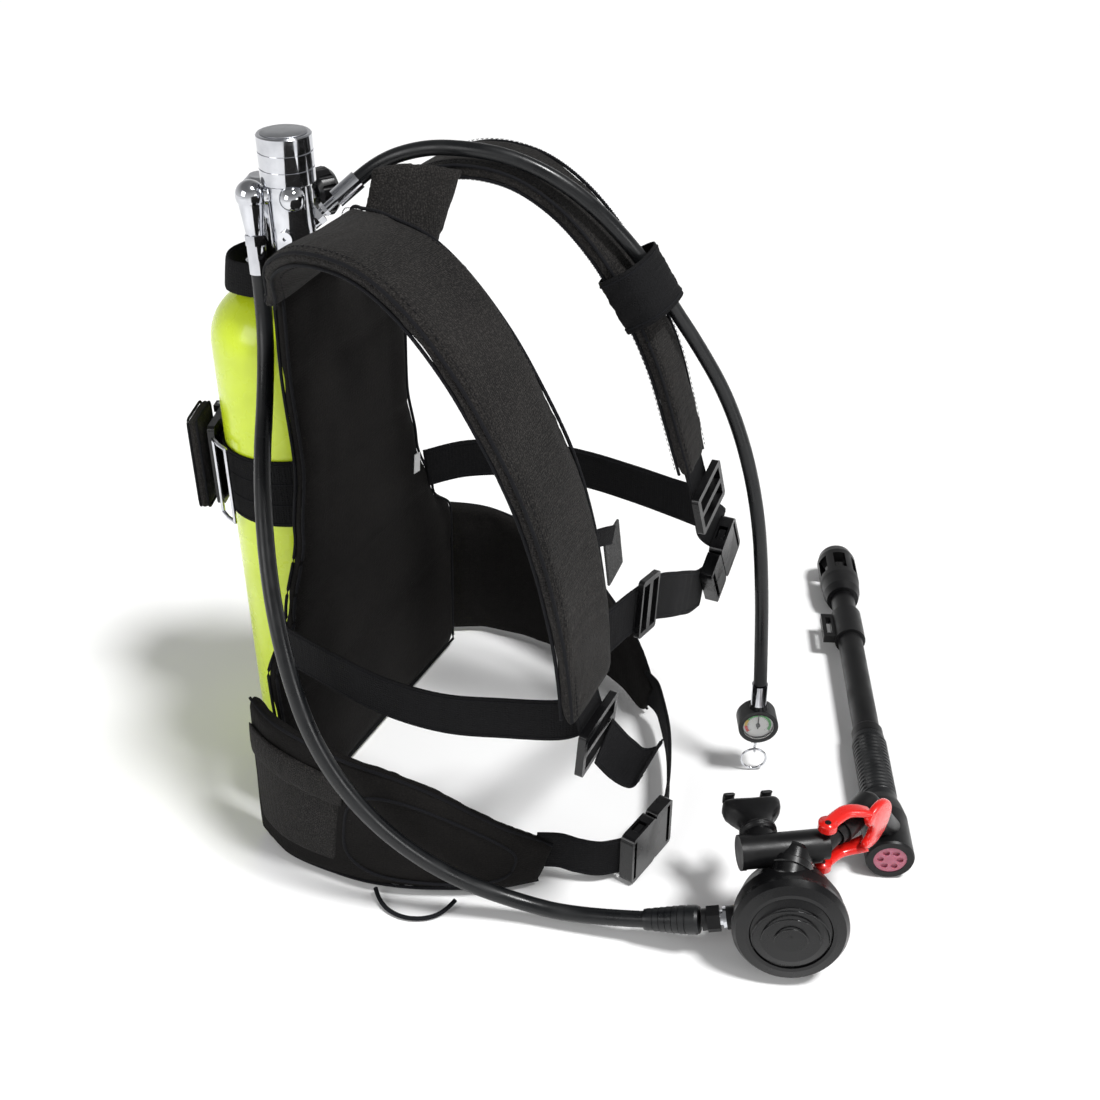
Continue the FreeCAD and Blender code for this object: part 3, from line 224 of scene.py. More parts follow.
def moulded_group():
    """Fine spark-eroded grain, with handling marks that dull the gloss in patches."""
    tree, given, out = group_tree("Moulded skin", {
        "Colour": (0.01, 0.01, 0.01, 1), "Dust": (0.05, 0.05, 0.05, 1), "Gloss": 0.3,
        "Smudge": 0.15, "Grains per metre": 900.0})
    grain = texture(tree, "ShaderNodeTexNoise", given.outputs["Grains per metre"], detail=2.0)
    marks = texture(tree, "ShaderNodeTexNoise", 38.0, detail=5.0)
    patch = ramp(tree, marks.outputs["Fac"], 0.42, 0.68)
    dull = sums(tree, "MULTIPLY", patch, given.outputs["Smudge"])
    tree.links.new(sums(tree, "ADD", given.outputs["Gloss"], dull), out.inputs["Roughness"])
    tree.links.new(blended(tree, sums(tree, "MULTIPLY", patch, 0.25), given.outputs["Colour"],
                           given.outputs["Dust"]), out.inputs["Colour"])
    tree.links.new(grain.outputs["Fac"], out.inputs["Height"])
    return tree


def metal_group():
    """Polished metal with hairline rubs and slightly dulled patches."""
    tree, given, out = group_tree("Handled metal", {
        "Colour": (0.8, 0.8, 0.8, 1), "Tarnish": (0.5, 0.5, 0.5, 1), "Polish": 0.08,
        "Rub": 0.12})
    hairs = texture(tree, "ShaderNodeTexNoise", 1400.0, detail=1.0)
    patches = texture(tree, "ShaderNodeTexNoise", 60.0, detail=6.0)
    worn = ramp(tree, patches.outputs["Fac"], 0.45, 0.7)
    dull = sums(tree, "MULTIPLY", worn, given.outputs["Rub"])
    tree.links.new(sums(tree, "ADD", given.outputs["Polish"], dull), out.inputs["Roughness"])
    tree.links.new(blended(tree, sums(tree, "MULTIPLY", worn, 0.5), given.outputs["Colour"],
                           given.outputs["Tarnish"]), out.inputs["Colour"])
    tree.links.new(hairs.outputs["Fac"], out.inputs["Height"])
    return tree


GROUPS = {"weave": weave_group, "moulded": moulded_group, "metal": metal_group}
built_groups = {}


def shader_group(kind):
    if kind not in built_groups:
        built_groups[kind] = GROUPS[kind]()
    return built_groups[kind]


def material(name, kind, values, bump=0.1, depth=0.0004, **principled):
    """A Principled material fed by one of the groups; principled sets constant sockets."""
    made = bpy.data.materials.new(name)
    made.use_nodes = True
    tree = made.node_tree
    shader = tree.nodes["Principled BSDF"]
    group = tree.nodes.new("ShaderNodeGroup")
    group.node_tree = shader_group(kind)
    for key, value in values.items():
        if not isinstance(value, (int, float)):
            value = (*value, 1.0)
        group.inputs[key].default_value = value
    tree.links.new(group.outputs["Colour"], shader.inputs["Base Color"])
    tree.links.new(group.outputs["Roughness"], shader.inputs["Roughness"])
    height = tree.nodes.new("ShaderNodeBump")
    height.inputs["Strength"].default_value = bump
    height.inputs["Distance"].default_value = depth
    tree.links.new(group.outputs["Height"], height.inputs["Height"])
    tree.links.new(height.outputs["Normal"], shader.inputs["Normal"])
    for key, value in principled.items():
        shader.inputs[key.replace("_", " ")].default_value = value
    return made


def times(rgb, factor):
    return [value * factor for value in rgb]


THREAD_LIFT = 2.2       # how much lighter the flecks of black tape are than its ground


def woven_materials(c):
    """Key, label, ground, fleck, knots per metre, fleck amount, bump, depth, sockets."""
    rows = (
        ("cloth", "Heathered pad cloth", c.cloth, c.cloth_fleck, 560.0, 0.75, 0.9, 0.0012,
         {"Specular_IOR_Level": 0.12, "Sheen_Weight": 0.03}),
        ("lining", "Smooth lining cloth", times(c.cloth, 0.8), times(c.cloth_fleck, 0.5),
         420.0, 0.4, 0.6, 0.0009, {"Specular_IOR_Level": 0.08}),
        ("webbing", "Woven tape", c.webbing, times(c.webbing, THREAD_LIFT), 480.0, 0.6, 0.9,
         0.0008, {"Specular_IOR_Level": 0.15}),
        ("tab", "Ribbed grey tape", (0.025,) * 3, (0.07,) * 3, 300.0, 0.9, 1.0, 0.001, {}),
        ("binding", "Edge binding", c.binding, times(c.binding, THREAD_LIFT), 900.0, 0.4,
         0.5, 0.0005, {"Specular_IOR_Level": 0.2}),
        ("tag", "White label tape", (0.7,) * 3, (0.8,) * 3, 900.0, 0.5, 0.3, 0.0004, {}))
    return {key: material(label, "weave",
                          {"Ground": ground, "Fleck": fleck, "Knots per metre": knots,
                           "Fleck amount": amount}, bump, depth, **sockets)
            for key, label, ground, fleck, knots, amount, bump, depth, sockets in rows}


def moulded_materials(c):
    """Key, label, colour, dust, gloss, smudge, grains per metre, bump, sockets."""
    grey, fine = (0.012,) * 3, 900.0
    rows = (
        ("plastic", "Glossy black plastic", c.plastic, (0.010,) * 3, 0.2, 0.2, fine, 0.05,
         {"Specular_IOR_Level": 0.4}),
        ("satin plastic", "Satin black plastic", c.plastic, grey, 0.34, 0.2, fine, 0.12,
         {"Specular_IOR_Level": 0.3}),
        ("rubber", "Hose rubber", c.rubber, (0.012, 0.013, 0.014), 0.26, 0.22, 500.0, 0.15,
         {"Specular_IOR_Level": 0.4}),
        ("silicone", "Mouthpiece silicone", c.plastic, grey, 0.34, 0.15, fine, 0.08,
         {"Specular_IOR_Level": 0.3}),
        ("red", "Red selector plastic", c.red, times(c.red, 0.8), 0.2, 0.15, fine, 0.05,
         {"Coat_Weight": 0.3}),
        ("purge", "Translucent purge disc", c.purge, times(c.purge, 0.8), 0.25, 0.1, fine,
         0.05, {"Subsurface_Weight": 0.2, "Subsurface_Scale": 0.002}),
        ("dial", "Dial enamel", (0.85, 0.86, 0.84), (0.7, 0.7, 0.68), 0.35, 0.1, fine, 0.02,
         {}),
        ("lens", "Clear lens", (1.0,) * 3, (0.9,) * 3, 0.03, 0.04, fine, 0.0,
         {"Transmission_Weight": 1.0, "IOR": 1.45}),
        ("paint", "Lime cylinder paint", c.lime, times(c.lime, 0.82), 0.24, 0.14, 260.0,
         0.06, {"Coat_Weight": 0.35, "Coat_Roughness": 0.12}))
    inks = (("green", (0.05, 0.42, 0.08)), ("amber", (0.85, 0.55, 0.03)),
            ("signal", (0.75, 0.03, 0.02)), ("ink", (0.01, 0.01, 0.01)))
    rows += tuple((key, "Dial " + key, rgb, rgb, 0.4, 0.05, fine, 0.1, {})
                  for key, rgb in inks)
    return {key: material(label, "moulded",
                          {"Colour": rgb, "Dust": dust, "Gloss": gloss, "Smudge": smudge,
                           "Grains per metre": grains}, bump,
                          0.0003 if key == "paint" else 0.0004, **sockets)
            for key, label, rgb, dust, gloss, smudge, grains, bump, sockets in rows}


def metal_materials():
    """Key, label, colour, tarnish, polish, rub and bump."""
    rows = (
        ("chrome", "Polished chrome", (0.62, 0.63, 0.66), (0.34, 0.35, 0.38), 0.06, 0.12,
         0.02),
        ("steel", "Brushed steel", (0.42, 0.43, 0.45), (0.25, 0.25, 0.27), 0.28, 0.15, 0.08),
        ("brass", "Turned brass", (0.70, 0.47, 0.17), (0.35, 0.22, 0.08), 0.2, 0.15, 0.05))
    return {key: material(label, "metal",
                          {"Colour": rgb, "Tarnish": tarnish, "Polish": polish, "Rub": rub},
                          bump, Metallic=1.0)
            for key, label, rgb, tarnish, polish, rub, bump in rows}


def make_materials():
    c = colours()
    return {**woven_materials(c), **moulded_materials(c), **metal_materials()}


finishes = {}


def finish(name):
    if not finishes:
        finishes.update(make_materials())
    return finishes[name]


def paint_below(node, name, limit):
    """Gives a second finish to the faces of a node in front of y = limit."""
    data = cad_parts[node].data
    data.materials.append(finish(name))
    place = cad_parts[node].matrix_world
    for polygon in data.polygons:
        if (place @ polygon.center).y < limit:
            polygon.material_index = len(data.materials) - 1


def dress(name, *nodes):
    """Gives carried-over CAD nodes a finish."""
    for node in nodes:
        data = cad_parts[node].data
        data.materials.clear()
        data.materials.append(finish(name))


# ---- mesh helpers ------------------------------------------------------------------
def add_mesh(name, verts, faces, finish_name, body=ROOT, smooth=True):
    data = bpy.data.meshes.new(name)
    data.from_pydata([tuple(v) for v in verts], [], faces)
    data.validate()
    tidy = bmesh.new()
    tidy.from_mesh(data)
    bmesh.ops.recalc_face_normals(tidy, faces=tidy.faces)
    tidy.to_mesh(data)
    tidy.free()
    data.materials.append(finish(finish_name))
    if smooth:
        data.shade_smooth()
    piece = bpy.data.objects.new(name, data)
    bpy.context.scene.collection.objects.link(piece)
    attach(piece, body)
    return piece


def skin(rings, closed=False):
    """Vertices and faces over a row of equal rings, capped at both ends unless closed."""
    count = len(rings[0])
    verts = [v for ring in rings for v in ring]
    faces = []
    last = len(rings) if closed else len(rings) - 1
    for i in range(last):
        a = i * count
        b = (i + 1) % len(rings) * count
        for k in range(count):
            m = (k + 1) % count
            faces.append((a + k, a + m, b + m, b + k))
    if not closed:
        faces.append(tuple(range(count - 1, -1, -1)))
        faces.append(tuple(range((len(rings) - 1) * count, len(rings) * count)))
    return verts, faces


def spline(points, t):
    """A point on the smooth curve through the points; t runs from 0 to 1."""
    x = t * (len(points) - 1)
    i = min(int(x), len(points) - 2)
    f = x - i
    p0 = points[max(i - 1, 0)]
    p1, p2 = points[i], points[i + 1]
    p3 = points[min(i + 2, len(points) - 1)]
    return 0.5 * (2 * p1 + (p2 - p0) * f + (2 * p0 - 5 * p1 + 4 * p2 - p3) * f * f
                  + (3 * p1 - p0 - 3 * p2 + p3) * f ** 3)


class Ribbon:
    """A strap's middle line with its width direction, outward direction and width."""

    def __init__(self, stations, steps):
        self.steps = steps
        centres = [s[0] for s in stations]
        across = [s[1] for s in stations]
        widths = [Vector((s[2], 0, 0)) for s in stations]
        self.rows = []
        for i in range(steps + 1):
            t = i / steps
            c = spline(centres, t)
            ahead = spline(centres, min(t + 0.002, 1)) - spline(centres, max(t - 0.002, 0))
            along = ahead.normalized()
            w = spline(across, t)
            w = (w - along * w.dot(along)).normalized()
            self.rows.append((c, w, along.cross(w), spline(widths, t).x))

    def place(self, t):
        """Middle, across, outward and width at t along."""
        x = max(0.0, min(1.0, t)) * self.steps
        i = min(int(x), self.steps - 1)
        f = x - i
        a, b = self.rows[i], self.rows[i + 1]
        return (a[0].lerp(b[0], f), a[1].lerp(b[1], f), a[2].lerp(b[2], f),
                a[3] + (b[3] - a[3]) * f)

    def edge(self, t, sign, inset, lift):
        """A point inset metres inside one edge, and lift metres off the middle."""
        return self.at(t, sign * (1 - 2 * inset / self.place(t)[3]), lift)

    def at(self, t, side, lift):
        """A point at t along, side -1..1 across and lift metres off the middle."""
        c, w, n, width = self.place(t)
        return c + w * (side * width / 2) + n * lift


def circle(count, radius):
    turns = [2 * math.pi * k / count for k in range(count)]
    return [(radius * math.cos(t), radius * math.sin(t)) for t in turns]


def superellipse(count, power):
    """Unit outline points, squarer as power falls below 1."""
    return [(math.copysign(abs(c) ** power, c), math.copysign(abs(s) ** power, s))
            for c, s in circle(count, 1)]


def pad_outline(half, deep, flats=14, turn=7):
    """Section of a pad: two flat faces joined by round edges as deep as the pad."""
    flat = half - deep
    points = []
    for sign in (1, -1):
        points += [(sign * flat * (1 - 2 * k / flats), sign * deep) for k in range(flats)]
        points += [(-sign * (flat + deep * math.sin(math.pi * k / turn)),
                    sign * deep * math.cos(math.pi * k / turn)) for k in range(turn)]
    return points


def pad_rings(ribbon, thickness, crown=0.1, wrinkle=0.0, seed=0.0):
    """Rings of a crowned pad whose ends round off and whose edges pucker a little."""
    rings = []
    for i, (c, w, n, width) in enumerate(ribbon.rows):
        t = i / ribbon.steps
        end = min(t, 1 - t) * ribbon.steps / 3
        close = math.sqrt(max(0.06, min(1.0, end)))
        ring = []
        for across, deep in pad_outline(width / 2, thickness / 2):
            x, y = across / (width / 2), deep / (thickness / 2)
            p = c + w * across + n * (deep * close * (1 + crown * (1 - x * x) - crown / 2))
            if wrinkle:
                ripple = noise.noise(Vector((t * 46 + seed, x * 1.5, y * 1.2 + seed)))
                fold = noise.noise(Vector((t * 11 + seed, x * 0.7, seed)))
                p += n * (ripple * wrinkle * (0.35 + 0.65 * abs(x)) + fold * wrinkle * 1.3)
            ring.append(p)
        rings.append(ring)
    return rings


def tube_rings(points, radius, count=10, closed=False):
    rings = []
    total = len(points)
    for i, p in enumerate(points):
        if closed:
            along = points[(i + 1) % total] - points[i - 1]
        else:
            along = points[min(i + 1, total - 1)] - points[max(i - 1, 0)]
        along = along.normalized()
        x = along.cross(UP if abs(along.z) < 0.9 else Vector((1, 0, 0))).normalized()
        y = along.cross(x)
        rings.append([p + x * (radius * math.cos(2 * math.pi * k / count))
                      + y * (radius * math.sin(2 * math.pi * k / count)) for k in range(count)])
    return rings


def skinned(name, rings, finish_name, body=ROOT, closed=False, smooth=True):
    verts, faces = skin(rings, closed)
    return add_mesh(name, verts, faces, finish_name, body, smooth)


def piping(name, points, closed=False):
    return skinned(name, tube_rings(points, sizes().piping_radius, closed=closed), "binding",
                   closed=closed)


def inset_outline(outline, inset):
    """The outline moved in by inset, along the normals at its corners."""
    moved = []
    for k, (a, b) in enumerate(outline):
        a0, b0 = outline[k - 1]
        a1, b1 = outline[(k + 1) % len(outline)]
        along = math.hypot(a1 - a0, b1 - b0)
        moved.append((a - inset * (b1 - b0) / along, b + inset * (a1 - a0) / along))
    return moved


def subdivide(piece, levels=1):
    mod = piece.modifiers.new("Rounding", "SUBSURF")
    mod.levels = levels
    mod.render_levels = levels
    return piece


def join_rings(name, groups, finish_name, body=ROOT):
    """One mesh out of several separate ring skins."""
    verts = []
    faces = []
    for rings, closed in groups:
        v, f = skin(rings, closed)
        base = len(verts)
        verts += v
        faces += [tuple(base + k for k in face) for face in f]
    return add_mesh(name, verts, faces, finish_name, body)


FILL_FRAMES = 20
FILL_PRESSURE = 4.0
CLOTH_STRETCH = 25      # stiffness in tension and in compression
CLOTH_BEND = 1.5
DRAW_IN = 0.25          # how far a point may sink, as a share of how far it may rise


def inflate(piece, voxel, cap):
    """Fills a pad: evens its mesh, draws that back out to the shape, then blows it up.

    Each point ends at most cap metres out, or DRAW_IN of cap in, along its first normal."""
    scene = bpy.context.scene
    shape = BVHTree.FromObject(piece, bpy.context.evaluated_depsgraph_get())
    remesh = piece.modifiers.new("Even mesh", "REMESH")
    remesh.mode = "VOXEL"
    remesh.voxel_size = voxel
    depsgraph = bpy.context.evaluated_depsgraph_get()
    even = bpy.data.meshes.new_from_object(piece.evaluated_get(depsgraph))
    piece.modifiers.clear()
    finish_kept = piece.data.materials[0]
    piece.data = even
    even.materials.clear()
    even.materials.append(finish_kept)
    outward = [v.normal.copy() for v in even.vertices]
    for vertex, out in zip(even.vertices, outward):
        drawn = shape.ray_cast(vertex.co, out, voxel)[0]
        if drawn:
            vertex.co = drawn
    start = [(v.co.copy(), out) for v, out in zip(even.vertices, outward)]
    cloth = piece.modifiers.new("Fill", "CLOTH")
    cloth.settings.use_pressure = True
    cloth.settings.uniform_pressure_force = FILL_PRESSURE
    cloth.settings.effector_weights.gravity = 0
    cloth.settings.tension_stiffness = CLOTH_STRETCH
    cloth.settings.compression_stiffness = CLOTH_STRETCH
    cloth.settings.bending_stiffness = CLOTH_BEND
    cloth.point_cache.frame_start = 1
    cloth.point_cache.frame_end = FILL_FRAMES
    for step in range(1, FILL_FRAMES + 1):
        scene.frame_set(step)
    depsgraph = bpy.context.evaluated_depsgraph_get()
    filled = bpy.data.meshes.new_from_object(piece.evaluated_get(depsgraph))
    piece.modifiers.clear()
    for vertex, (home, out) in zip(filled.vertices, start):
        vertex.co = home + out * max(-DRAW_IN * cap, min(cap, (vertex.co - home).dot(out)))
    piece.data = filled
    filled.shade_smooth()
    scene.frame_set(1)
    return subdivide(piece)


def hose(name, route, diameter, finish_name, node):
    curve = bpy.data.curves.new(name, "CURVE")
    curve.dimensions = "3D"
    line = curve.splines.new("NURBS")
    line.points.add(len(route) - 1)
    for point, place in zip(line.points, route):
        point.co = (*place, 1.0)
    line.order_u = 3
    line.use_endpoint_u = True
    line.resolution_u = 12
    curve.bevel_depth = diameter / 2
    curve.bevel_resolution = 6
    curve.use_fill_caps = True
    curve.materials.append(finish(finish_name))
    piece = bpy.data.objects.new(name, curve)
    bpy.context.scene.collection.objects.link(piece)
    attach(piece, ROOT)
    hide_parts(node)
    return piece


class Local:
    """Axes a, b, c at a point, as the CAD source uses them."""

    def __init__(self, origin, along, out):
        self.o = Vector(origin)
        self.a = Vector(along).normalized()
        self.b = Vector(out).cross(self.a).normalized()
        self.c = self.a.cross(self.b)

    def at(self, a, b, c):
        return self.o + (self.a * a + self.b * b + self.c * c) * MM


# ---- operators ---------------------------------------------------------------------
LENS_MM, SENSOR_MM = 45.8, 36.0
CAMERA_AT = (-0.855, -0.641, 0.857)
CAMERA_LOOK = Vector((0.7601, 0.3544, -0.5446))
FLOOR_REACH = 4.0
FLOOR_DROP = 0.0006     # keeps the floor from coinciding with faces at z = 0
SUN_POWER, SUN_SPREAD = 3.1, math.radians(12)
LIT_POINT = Vector((-0.02, -0.25, 0.15))


class BuildStage(bpy.types.Operator):
    """Adds the camera, the pale floor and the soft lights"""
    bl_idname = "airpack.stage"
    bl_label = "Stage"

    def execute(self, context):
        scene = context.scene
        scene.view_settings.view_transform = "Standard"
        lens = bpy.data.cameras.new("Camera")
        lens.lens = LENS_MM
        lens.sensor_width = SENSOR_MM
        camera = bpy.data.objects.new("Camera", lens)
        camera.location = CAMERA_AT
        camera.rotation_euler = CAMERA_LOOK.to_track_quat("-Z", "Y").to_euler()
        scene.collection.objects.link(camera)
        scene.camera = camera
        self.floor()
        self.lights(scene)
        return {"FINISHED"}

    def floor(self):
        r = FLOOR_REACH
        data = bpy.data.meshes.new("Floor")
        data.from_pydata([(-r, -r, 0), (r, -r, 0), (r, r, 0), (-r, r, 0)], [], [(0, 1, 2, 3)])
        paper = bpy.data.materials.new("Pale paper")
        paper.use_nodes = True
        shader = paper.node_tree.nodes["Principled BSDF"]
        shader.inputs["Base Color"].default_value = (0.93, 0.93, 0.93, 1)
        shader.inputs["Roughness"].default_value = 0.6
        data.materials.append(paper)
        ground = bpy.data.objects.new("Floor", data)
        ground.location.z = -FLOOR_DROP
        bpy.context.scene.collection.objects.link(ground)

    def lights(self, scene):
        """An even white room, darker overhead, with a soft sun from the wearer's left."""
        world = bpy.data.worlds.new("Studio")
        world.use_nodes = True
        tree = world.node_tree
        where = tree.nodes.new("ShaderNodeTexCoord")
        split = tree.nodes.new("ShaderNodeSeparateXYZ")
        tree.links.new(where.outputs["Generated"], split.inputs[0])
        room = ramp(tree, split.outputs["Z"], -0.05, 0.7, 0.78, 0.22)
        seen = tree.nodes.new("ShaderNodeLightPath").outputs["Is Camera Ray"]
        strength = sums(tree, "MAXIMUM", room, seen)
        tree.links.new(strength, tree.nodes["Background"].inputs["Strength"])
        tree.nodes["Background"].inputs["Color"].default_value = (1, 1, 1, 1)
        scene.world = world
        sun = bpy.data.lights.new("Key", "SUN")
        sun.energy = SUN_POWER
        sun.angle = SUN_SPREAD
        key = bpy.data.objects.new("Key", sun)
        aim = LIT_POINT - Vector((-0.10, -1.15, 2.0))
        key.rotation_euler = aim.to_track_quat("-Z", "Y").to_euler()
        scene.collection.objects.link(key)
        for name, place, size, power in (("Fill", (-1.5, 0.5, 1.1), 0.9, 9.0),
                                         ("Front", (-0.5, -1.9, 0.7), 0.5, 5.0)):
            data = bpy.data.lights.new(name, "AREA")
            data.size = size
            data.energy = power
            lamp = bpy.data.objects.new(name, data)
            lamp.location = place
            aim = LIT_POINT - Vector(place)
            lamp.rotation_euler = aim.to_track_quat("-Z", "Y").to_euler()
            scene.collection.objects.link(lamp)


class BuildHoses(bpy.types.Operator):
    """Lays the supply hose, the gauge hose and the elastic loop"""
    bl_idname = "airpack.hoses"
    bl_label = "Hoses"

    def execute(self, context):
        s = sizes()
        supply = hose("supply_line", LP_ROUTE, s.lp_diameter, "rubber", "lp_hose")
        gauge = hose("gauge_line", GAUGE_ROUTE, s.gauge_diameter, "rubber", "gauge_hose")
        loop = hose("elastic_cord", LOOP_ROUTE, s.loop_diameter, "binding", "elastic_loop")
        return {"FINISHED"}


class FinishCylinder(bpy.types.Operator):
    """Paints the cylinder and finishes the valve on its neck"""
    bl_idname = "airpack.cylinder"
    bl_label = "Cylinder and valve"

    def execute(self, context):
        dress("paint", "cylinder")
        dress("chrome", "valve_body")
        dress("brass", "valve_seat_plug")
        dress("steel", "valve_stem")
        dress("plastic", "valve_handwheel")
        return {"FINISHED"}


class FinishFirstStage(bpy.types.Operator):
    """Plates the first stage and its fittings"""
    bl_idname = "airpack.first_stage"
    bl_label = "First stage"

    def execute(self, context):
        dress("chrome", "first_stage_body", "first_stage_cap", "port_fittings", "lp_elbow",
              "hose_ferrules", "gauge_fitting", "wire_clips", "split_ring")
        dress("steel", "main_spring")
        dress("brass", "main_piston")
        self.cap_plate()
        return {"FINISHED"}

    def cap_plate(self):
        """Brushed disc let into the top of the cap."""
        centre = Vector((-0.025, -0.043, 0.5621))
        rings = []
        for radius, rise in ((0.0172, 0.0), (0.0172, 0.0005), (0.0165, 0.0008), (0.004, 0.0009)):
            rings.append([centre + Vector((x, y, rise)) for x, y in circle(48, radius)])
        piece = skinned("cap_plate", rings, "steel")


class FinishGauge(bpy.types.Operator):
    """Finishes the pressure gauge and draws its dial"""
    bl_idname = "airpack.gauge"
    bl_label = "Pressure gauge"

    def execute(self, context):
        dress("rubber", "gauge_boot")
        dress("satin plastic", "gauge_case")
        dress("ink", "gauge_needle")
        dress("lens", "gauge_lens")
        dress("brass", "bourdon_tube")
        self.dial()
        return {"FINISHED"}

    def dial(self):
        f = Local(GAUGE, UP, DIAL_OUT)

        def sector(name, inner, outer, start, end, c, tone, steps=24):
            rings = []
            for k in range(steps + 1):
                t = math.radians(start + (end - start) * k / steps)
                a, b = math.cos(t), math.sin(t)
                rings.append([f.at(a * r, b * r, h) for r, h in
                              ((inner, c), (outer, c), (outer, c + 0.1), (inner, c + 0.1))])
            skinned(name, rings, tone, smooth=False)

        sector("dial_face", 1.3, 13.3, 0, 359.9, 3.85, "dial", 64)
        sector("dial_safe_arc", 9.4, 11.8, -120, 60, 3.98, "green")
        sector("dial_low_arc", 9.4, 11.8, 60, 95, 3.98, "amber")
        sector("dial_empty_arc", 9.4, 11.8, 95, 132, 3.98, "signal")
        verts = []
        faces = []
        for k in range(25):
            t = math.radians(-132 + 11 * k)
            longer = 7.6 if k % 4 == 0 else 8.4
            half = 0.012
            rings = [[f.at(math.cos(t + s) * r, math.sin(t + s) * r, h) for s, h in
                      ((-half, 4.0), (half, 4.0), (half, 4.12), (-half, 4.12))]
                     for r in (longer, 9.3)]
            v, q = skin(rings)
            faces += [tuple(len(verts) + i for i in face) for face in q]
            verts += v
        add_mesh("dial_marks", verts, faces, "ink", smooth=False)


class FinishSecondStage(bpy.types.Operator):
    """Finishes the second stage and the boot on its hose"""
    bl_idname = "airpack.second_stage"
    bl_label = "Second stage"

    def execute(self, context):
        dress("satin plastic", "second_stage_case", "exhaust_tee")
        dress("plastic", "cover_ring", "purge_button")
        dress("steel", "purge_spring", "demand_lever")
        dress("chrome", "inlet_barrel")
        dress("brass", "poppet")
        dress("silicone", "diaphragm")
        dress("rubber", "hose_boot")
        self.cover_steps()
        self.neck()
        paint_below("port_fittings", "satin plastic", -0.3)
        return {"FINISHED"}

    def neck(self):
        """Round neck and clamp that join the case to the manifold above it."""
        top, foot = Vector((-78, -484, 84)), Vector((-103, -487, 74))
        groups = []
        for start, end, radius in ((0.0, 1.0, 15.5), (0.42, 0.62, 17.0)):
            points = [top.lerp(foot, start + (end - start) * k / 8) * MM for k in range(9)]
            groups.append((tube_rings(points, radius * MM, 40), False))
        join_rings("outlet_neck", groups, "plastic")

    def cover_steps(self):
        """Raised rings on the purge cover, round its plain centre boss."""
        f = Local(CASE, UP, BACK)
        groups = []
        for major, minor, c in ((29.2, 0.7, -22.9), (22.0, 0.6, -24.5), (12.5, 0.6, -25.4)):
            points = [f.at(a, b, c) for a, b in circle(72, major)]
            groups.append((tube_rings(points, minor * MM, 8, closed=True), True))
        join_rings("cover_ridges", groups, "plastic", "purge")


class FinishMouthpiece(bpy.types.Operator):
    """Finishes the manifold, the mouthpiece and the red selector lever"""
    bl_idname = "airpack.mouthpiece"
    bl_label = "Mouthpiece and selector"

    def execute(self, context):
        dress("satin plastic", "manifold_tube", "snorkel_elbow")
        self.mouthpiece()
        self.lever()
        return {"FINISHED"}

    def mouthpiece(self):
        """Oval sleeve that spreads into a curved lip flange with two bite tabs."""
        root, bite = Vector((-90.72, -463.65, 86.0)), Vector((0.8591, 0.5094, 0.0499))
        f = Local((root + bite * 15.2) * MM, bite, UP)
        rings = []
        for a, wide, tall, power in ((0, 13.5, 13.5, 1), (7, 13.3, 13.2, 1), (13, 14.6, 12.4, 0.9),
                                     (18, 19.5, 12.0, 0.7), (22, 22.4, 12.0, 0.6),
                                     (27, 23.0, 12.0, 0.6), (29.4, 22.2, 11.4, 0.6),
                                     (30, 20.8, 10.2, 0.6), (29.2, 19.2, 8.6, 0.6),
                                     (24, 17.6, 7.4, 0.7), (16, 13.0, 6.6, 0.8)):
            rings.append([f.at(a + 3.0 * (x * wide / 23) ** 2, x * wide, y * tall)
                          for x, y in superellipse(56, power)])
        groups = [(rings, False)]
        groups.append((tube_rings([f.at(a, 0, 0) for a in (2.0, 3.5, 5.0)], 0.0146, 40), False))
        for side in (-15, 15):
            tab = Ribbon([(f.at(a, side, c), f.b, 0.0095) for a, c in
                          ((22, -4.4), (32, -4.8), (39, -4.8), (43, -4.2))], 24)
            lug = Ribbon([(f.at(a, side, c), f.b, 0.0095) for a, c in
                          ((42.4, -6.2), (43, -3), (42.6, 1), (41.6, 4.2))], 18)
            groups += [(pad_rings(tab, 0.0034), False), (pad_rings(lug, 0.0036), False)]
        piece = join_rings("bite_mouthpiece", groups, "silicone")
        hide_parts("mouthpiece")

    def lever(self):
        """Red fork whose two arms run into a round paddle with a slot for the elbow."""
        f = Local(Vector((-65.28, -504.352, 86.0)) * MM, (0.9569, -0.2903, 0),
                  (-0.2903, -0.9569, 0))
        rim = [(44 + 21 * math.cos(math.radians(t)), 2 + 21 * math.sin(math.radians(t)))
               for t in range(-138, 139, 6)]
        slot = [(29 + 9.0 * math.cos(math.radians(t)), 9.0 * math.sin(math.radians(t)))
                for t in range(78, -79, -12)]
        outline = rim + slot
        rings = []
        for c, inset in ((13.8, 2.2), (14.2, 0.9), (15.2, 0.2), (17, 0.0), (18.8, 0.2),
                         (19.8, 0.9), (20.2, 2.2)):
            rings.append([f.at(a, b, c) for a, b in inset_outline(outline, inset)])
        groups = [(rings, False)]
        for b in (20.5, -20.5):
            path = ((-2, 0, b, 12), (10, 0.4, b, 12), (22, 2.5, b, 12.5),
                    (31, 8.5, b * 0.92, 13.5), (38, 15.0, b * 0.76, 15))
            arm = Ribbon([(f.at(a, level, c), f.c, w * MM) for a, c, level, w in path], 40)
            eye = [f.at(0, b + h, 0) for h in (-3, -2.6, 2.6, 3)]
            groups += [(pad_rings(arm, 0.0062), False), (tube_rings(eye, 0.0074, 36), False)]
        piece = join_rings("selector_paddle", groups, "red", "selector")
        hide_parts("selector_lever")
        for b, word in ((20.5, "upper"), (-20.5, "lower")):
            pin = [f.at(0, b + h, 0) for h in (-3.3, 3.3)]
            join_rings("selector_pin_" + word, [(tube_rings(pin, 0.0024, 20), False)],
                       "plastic")


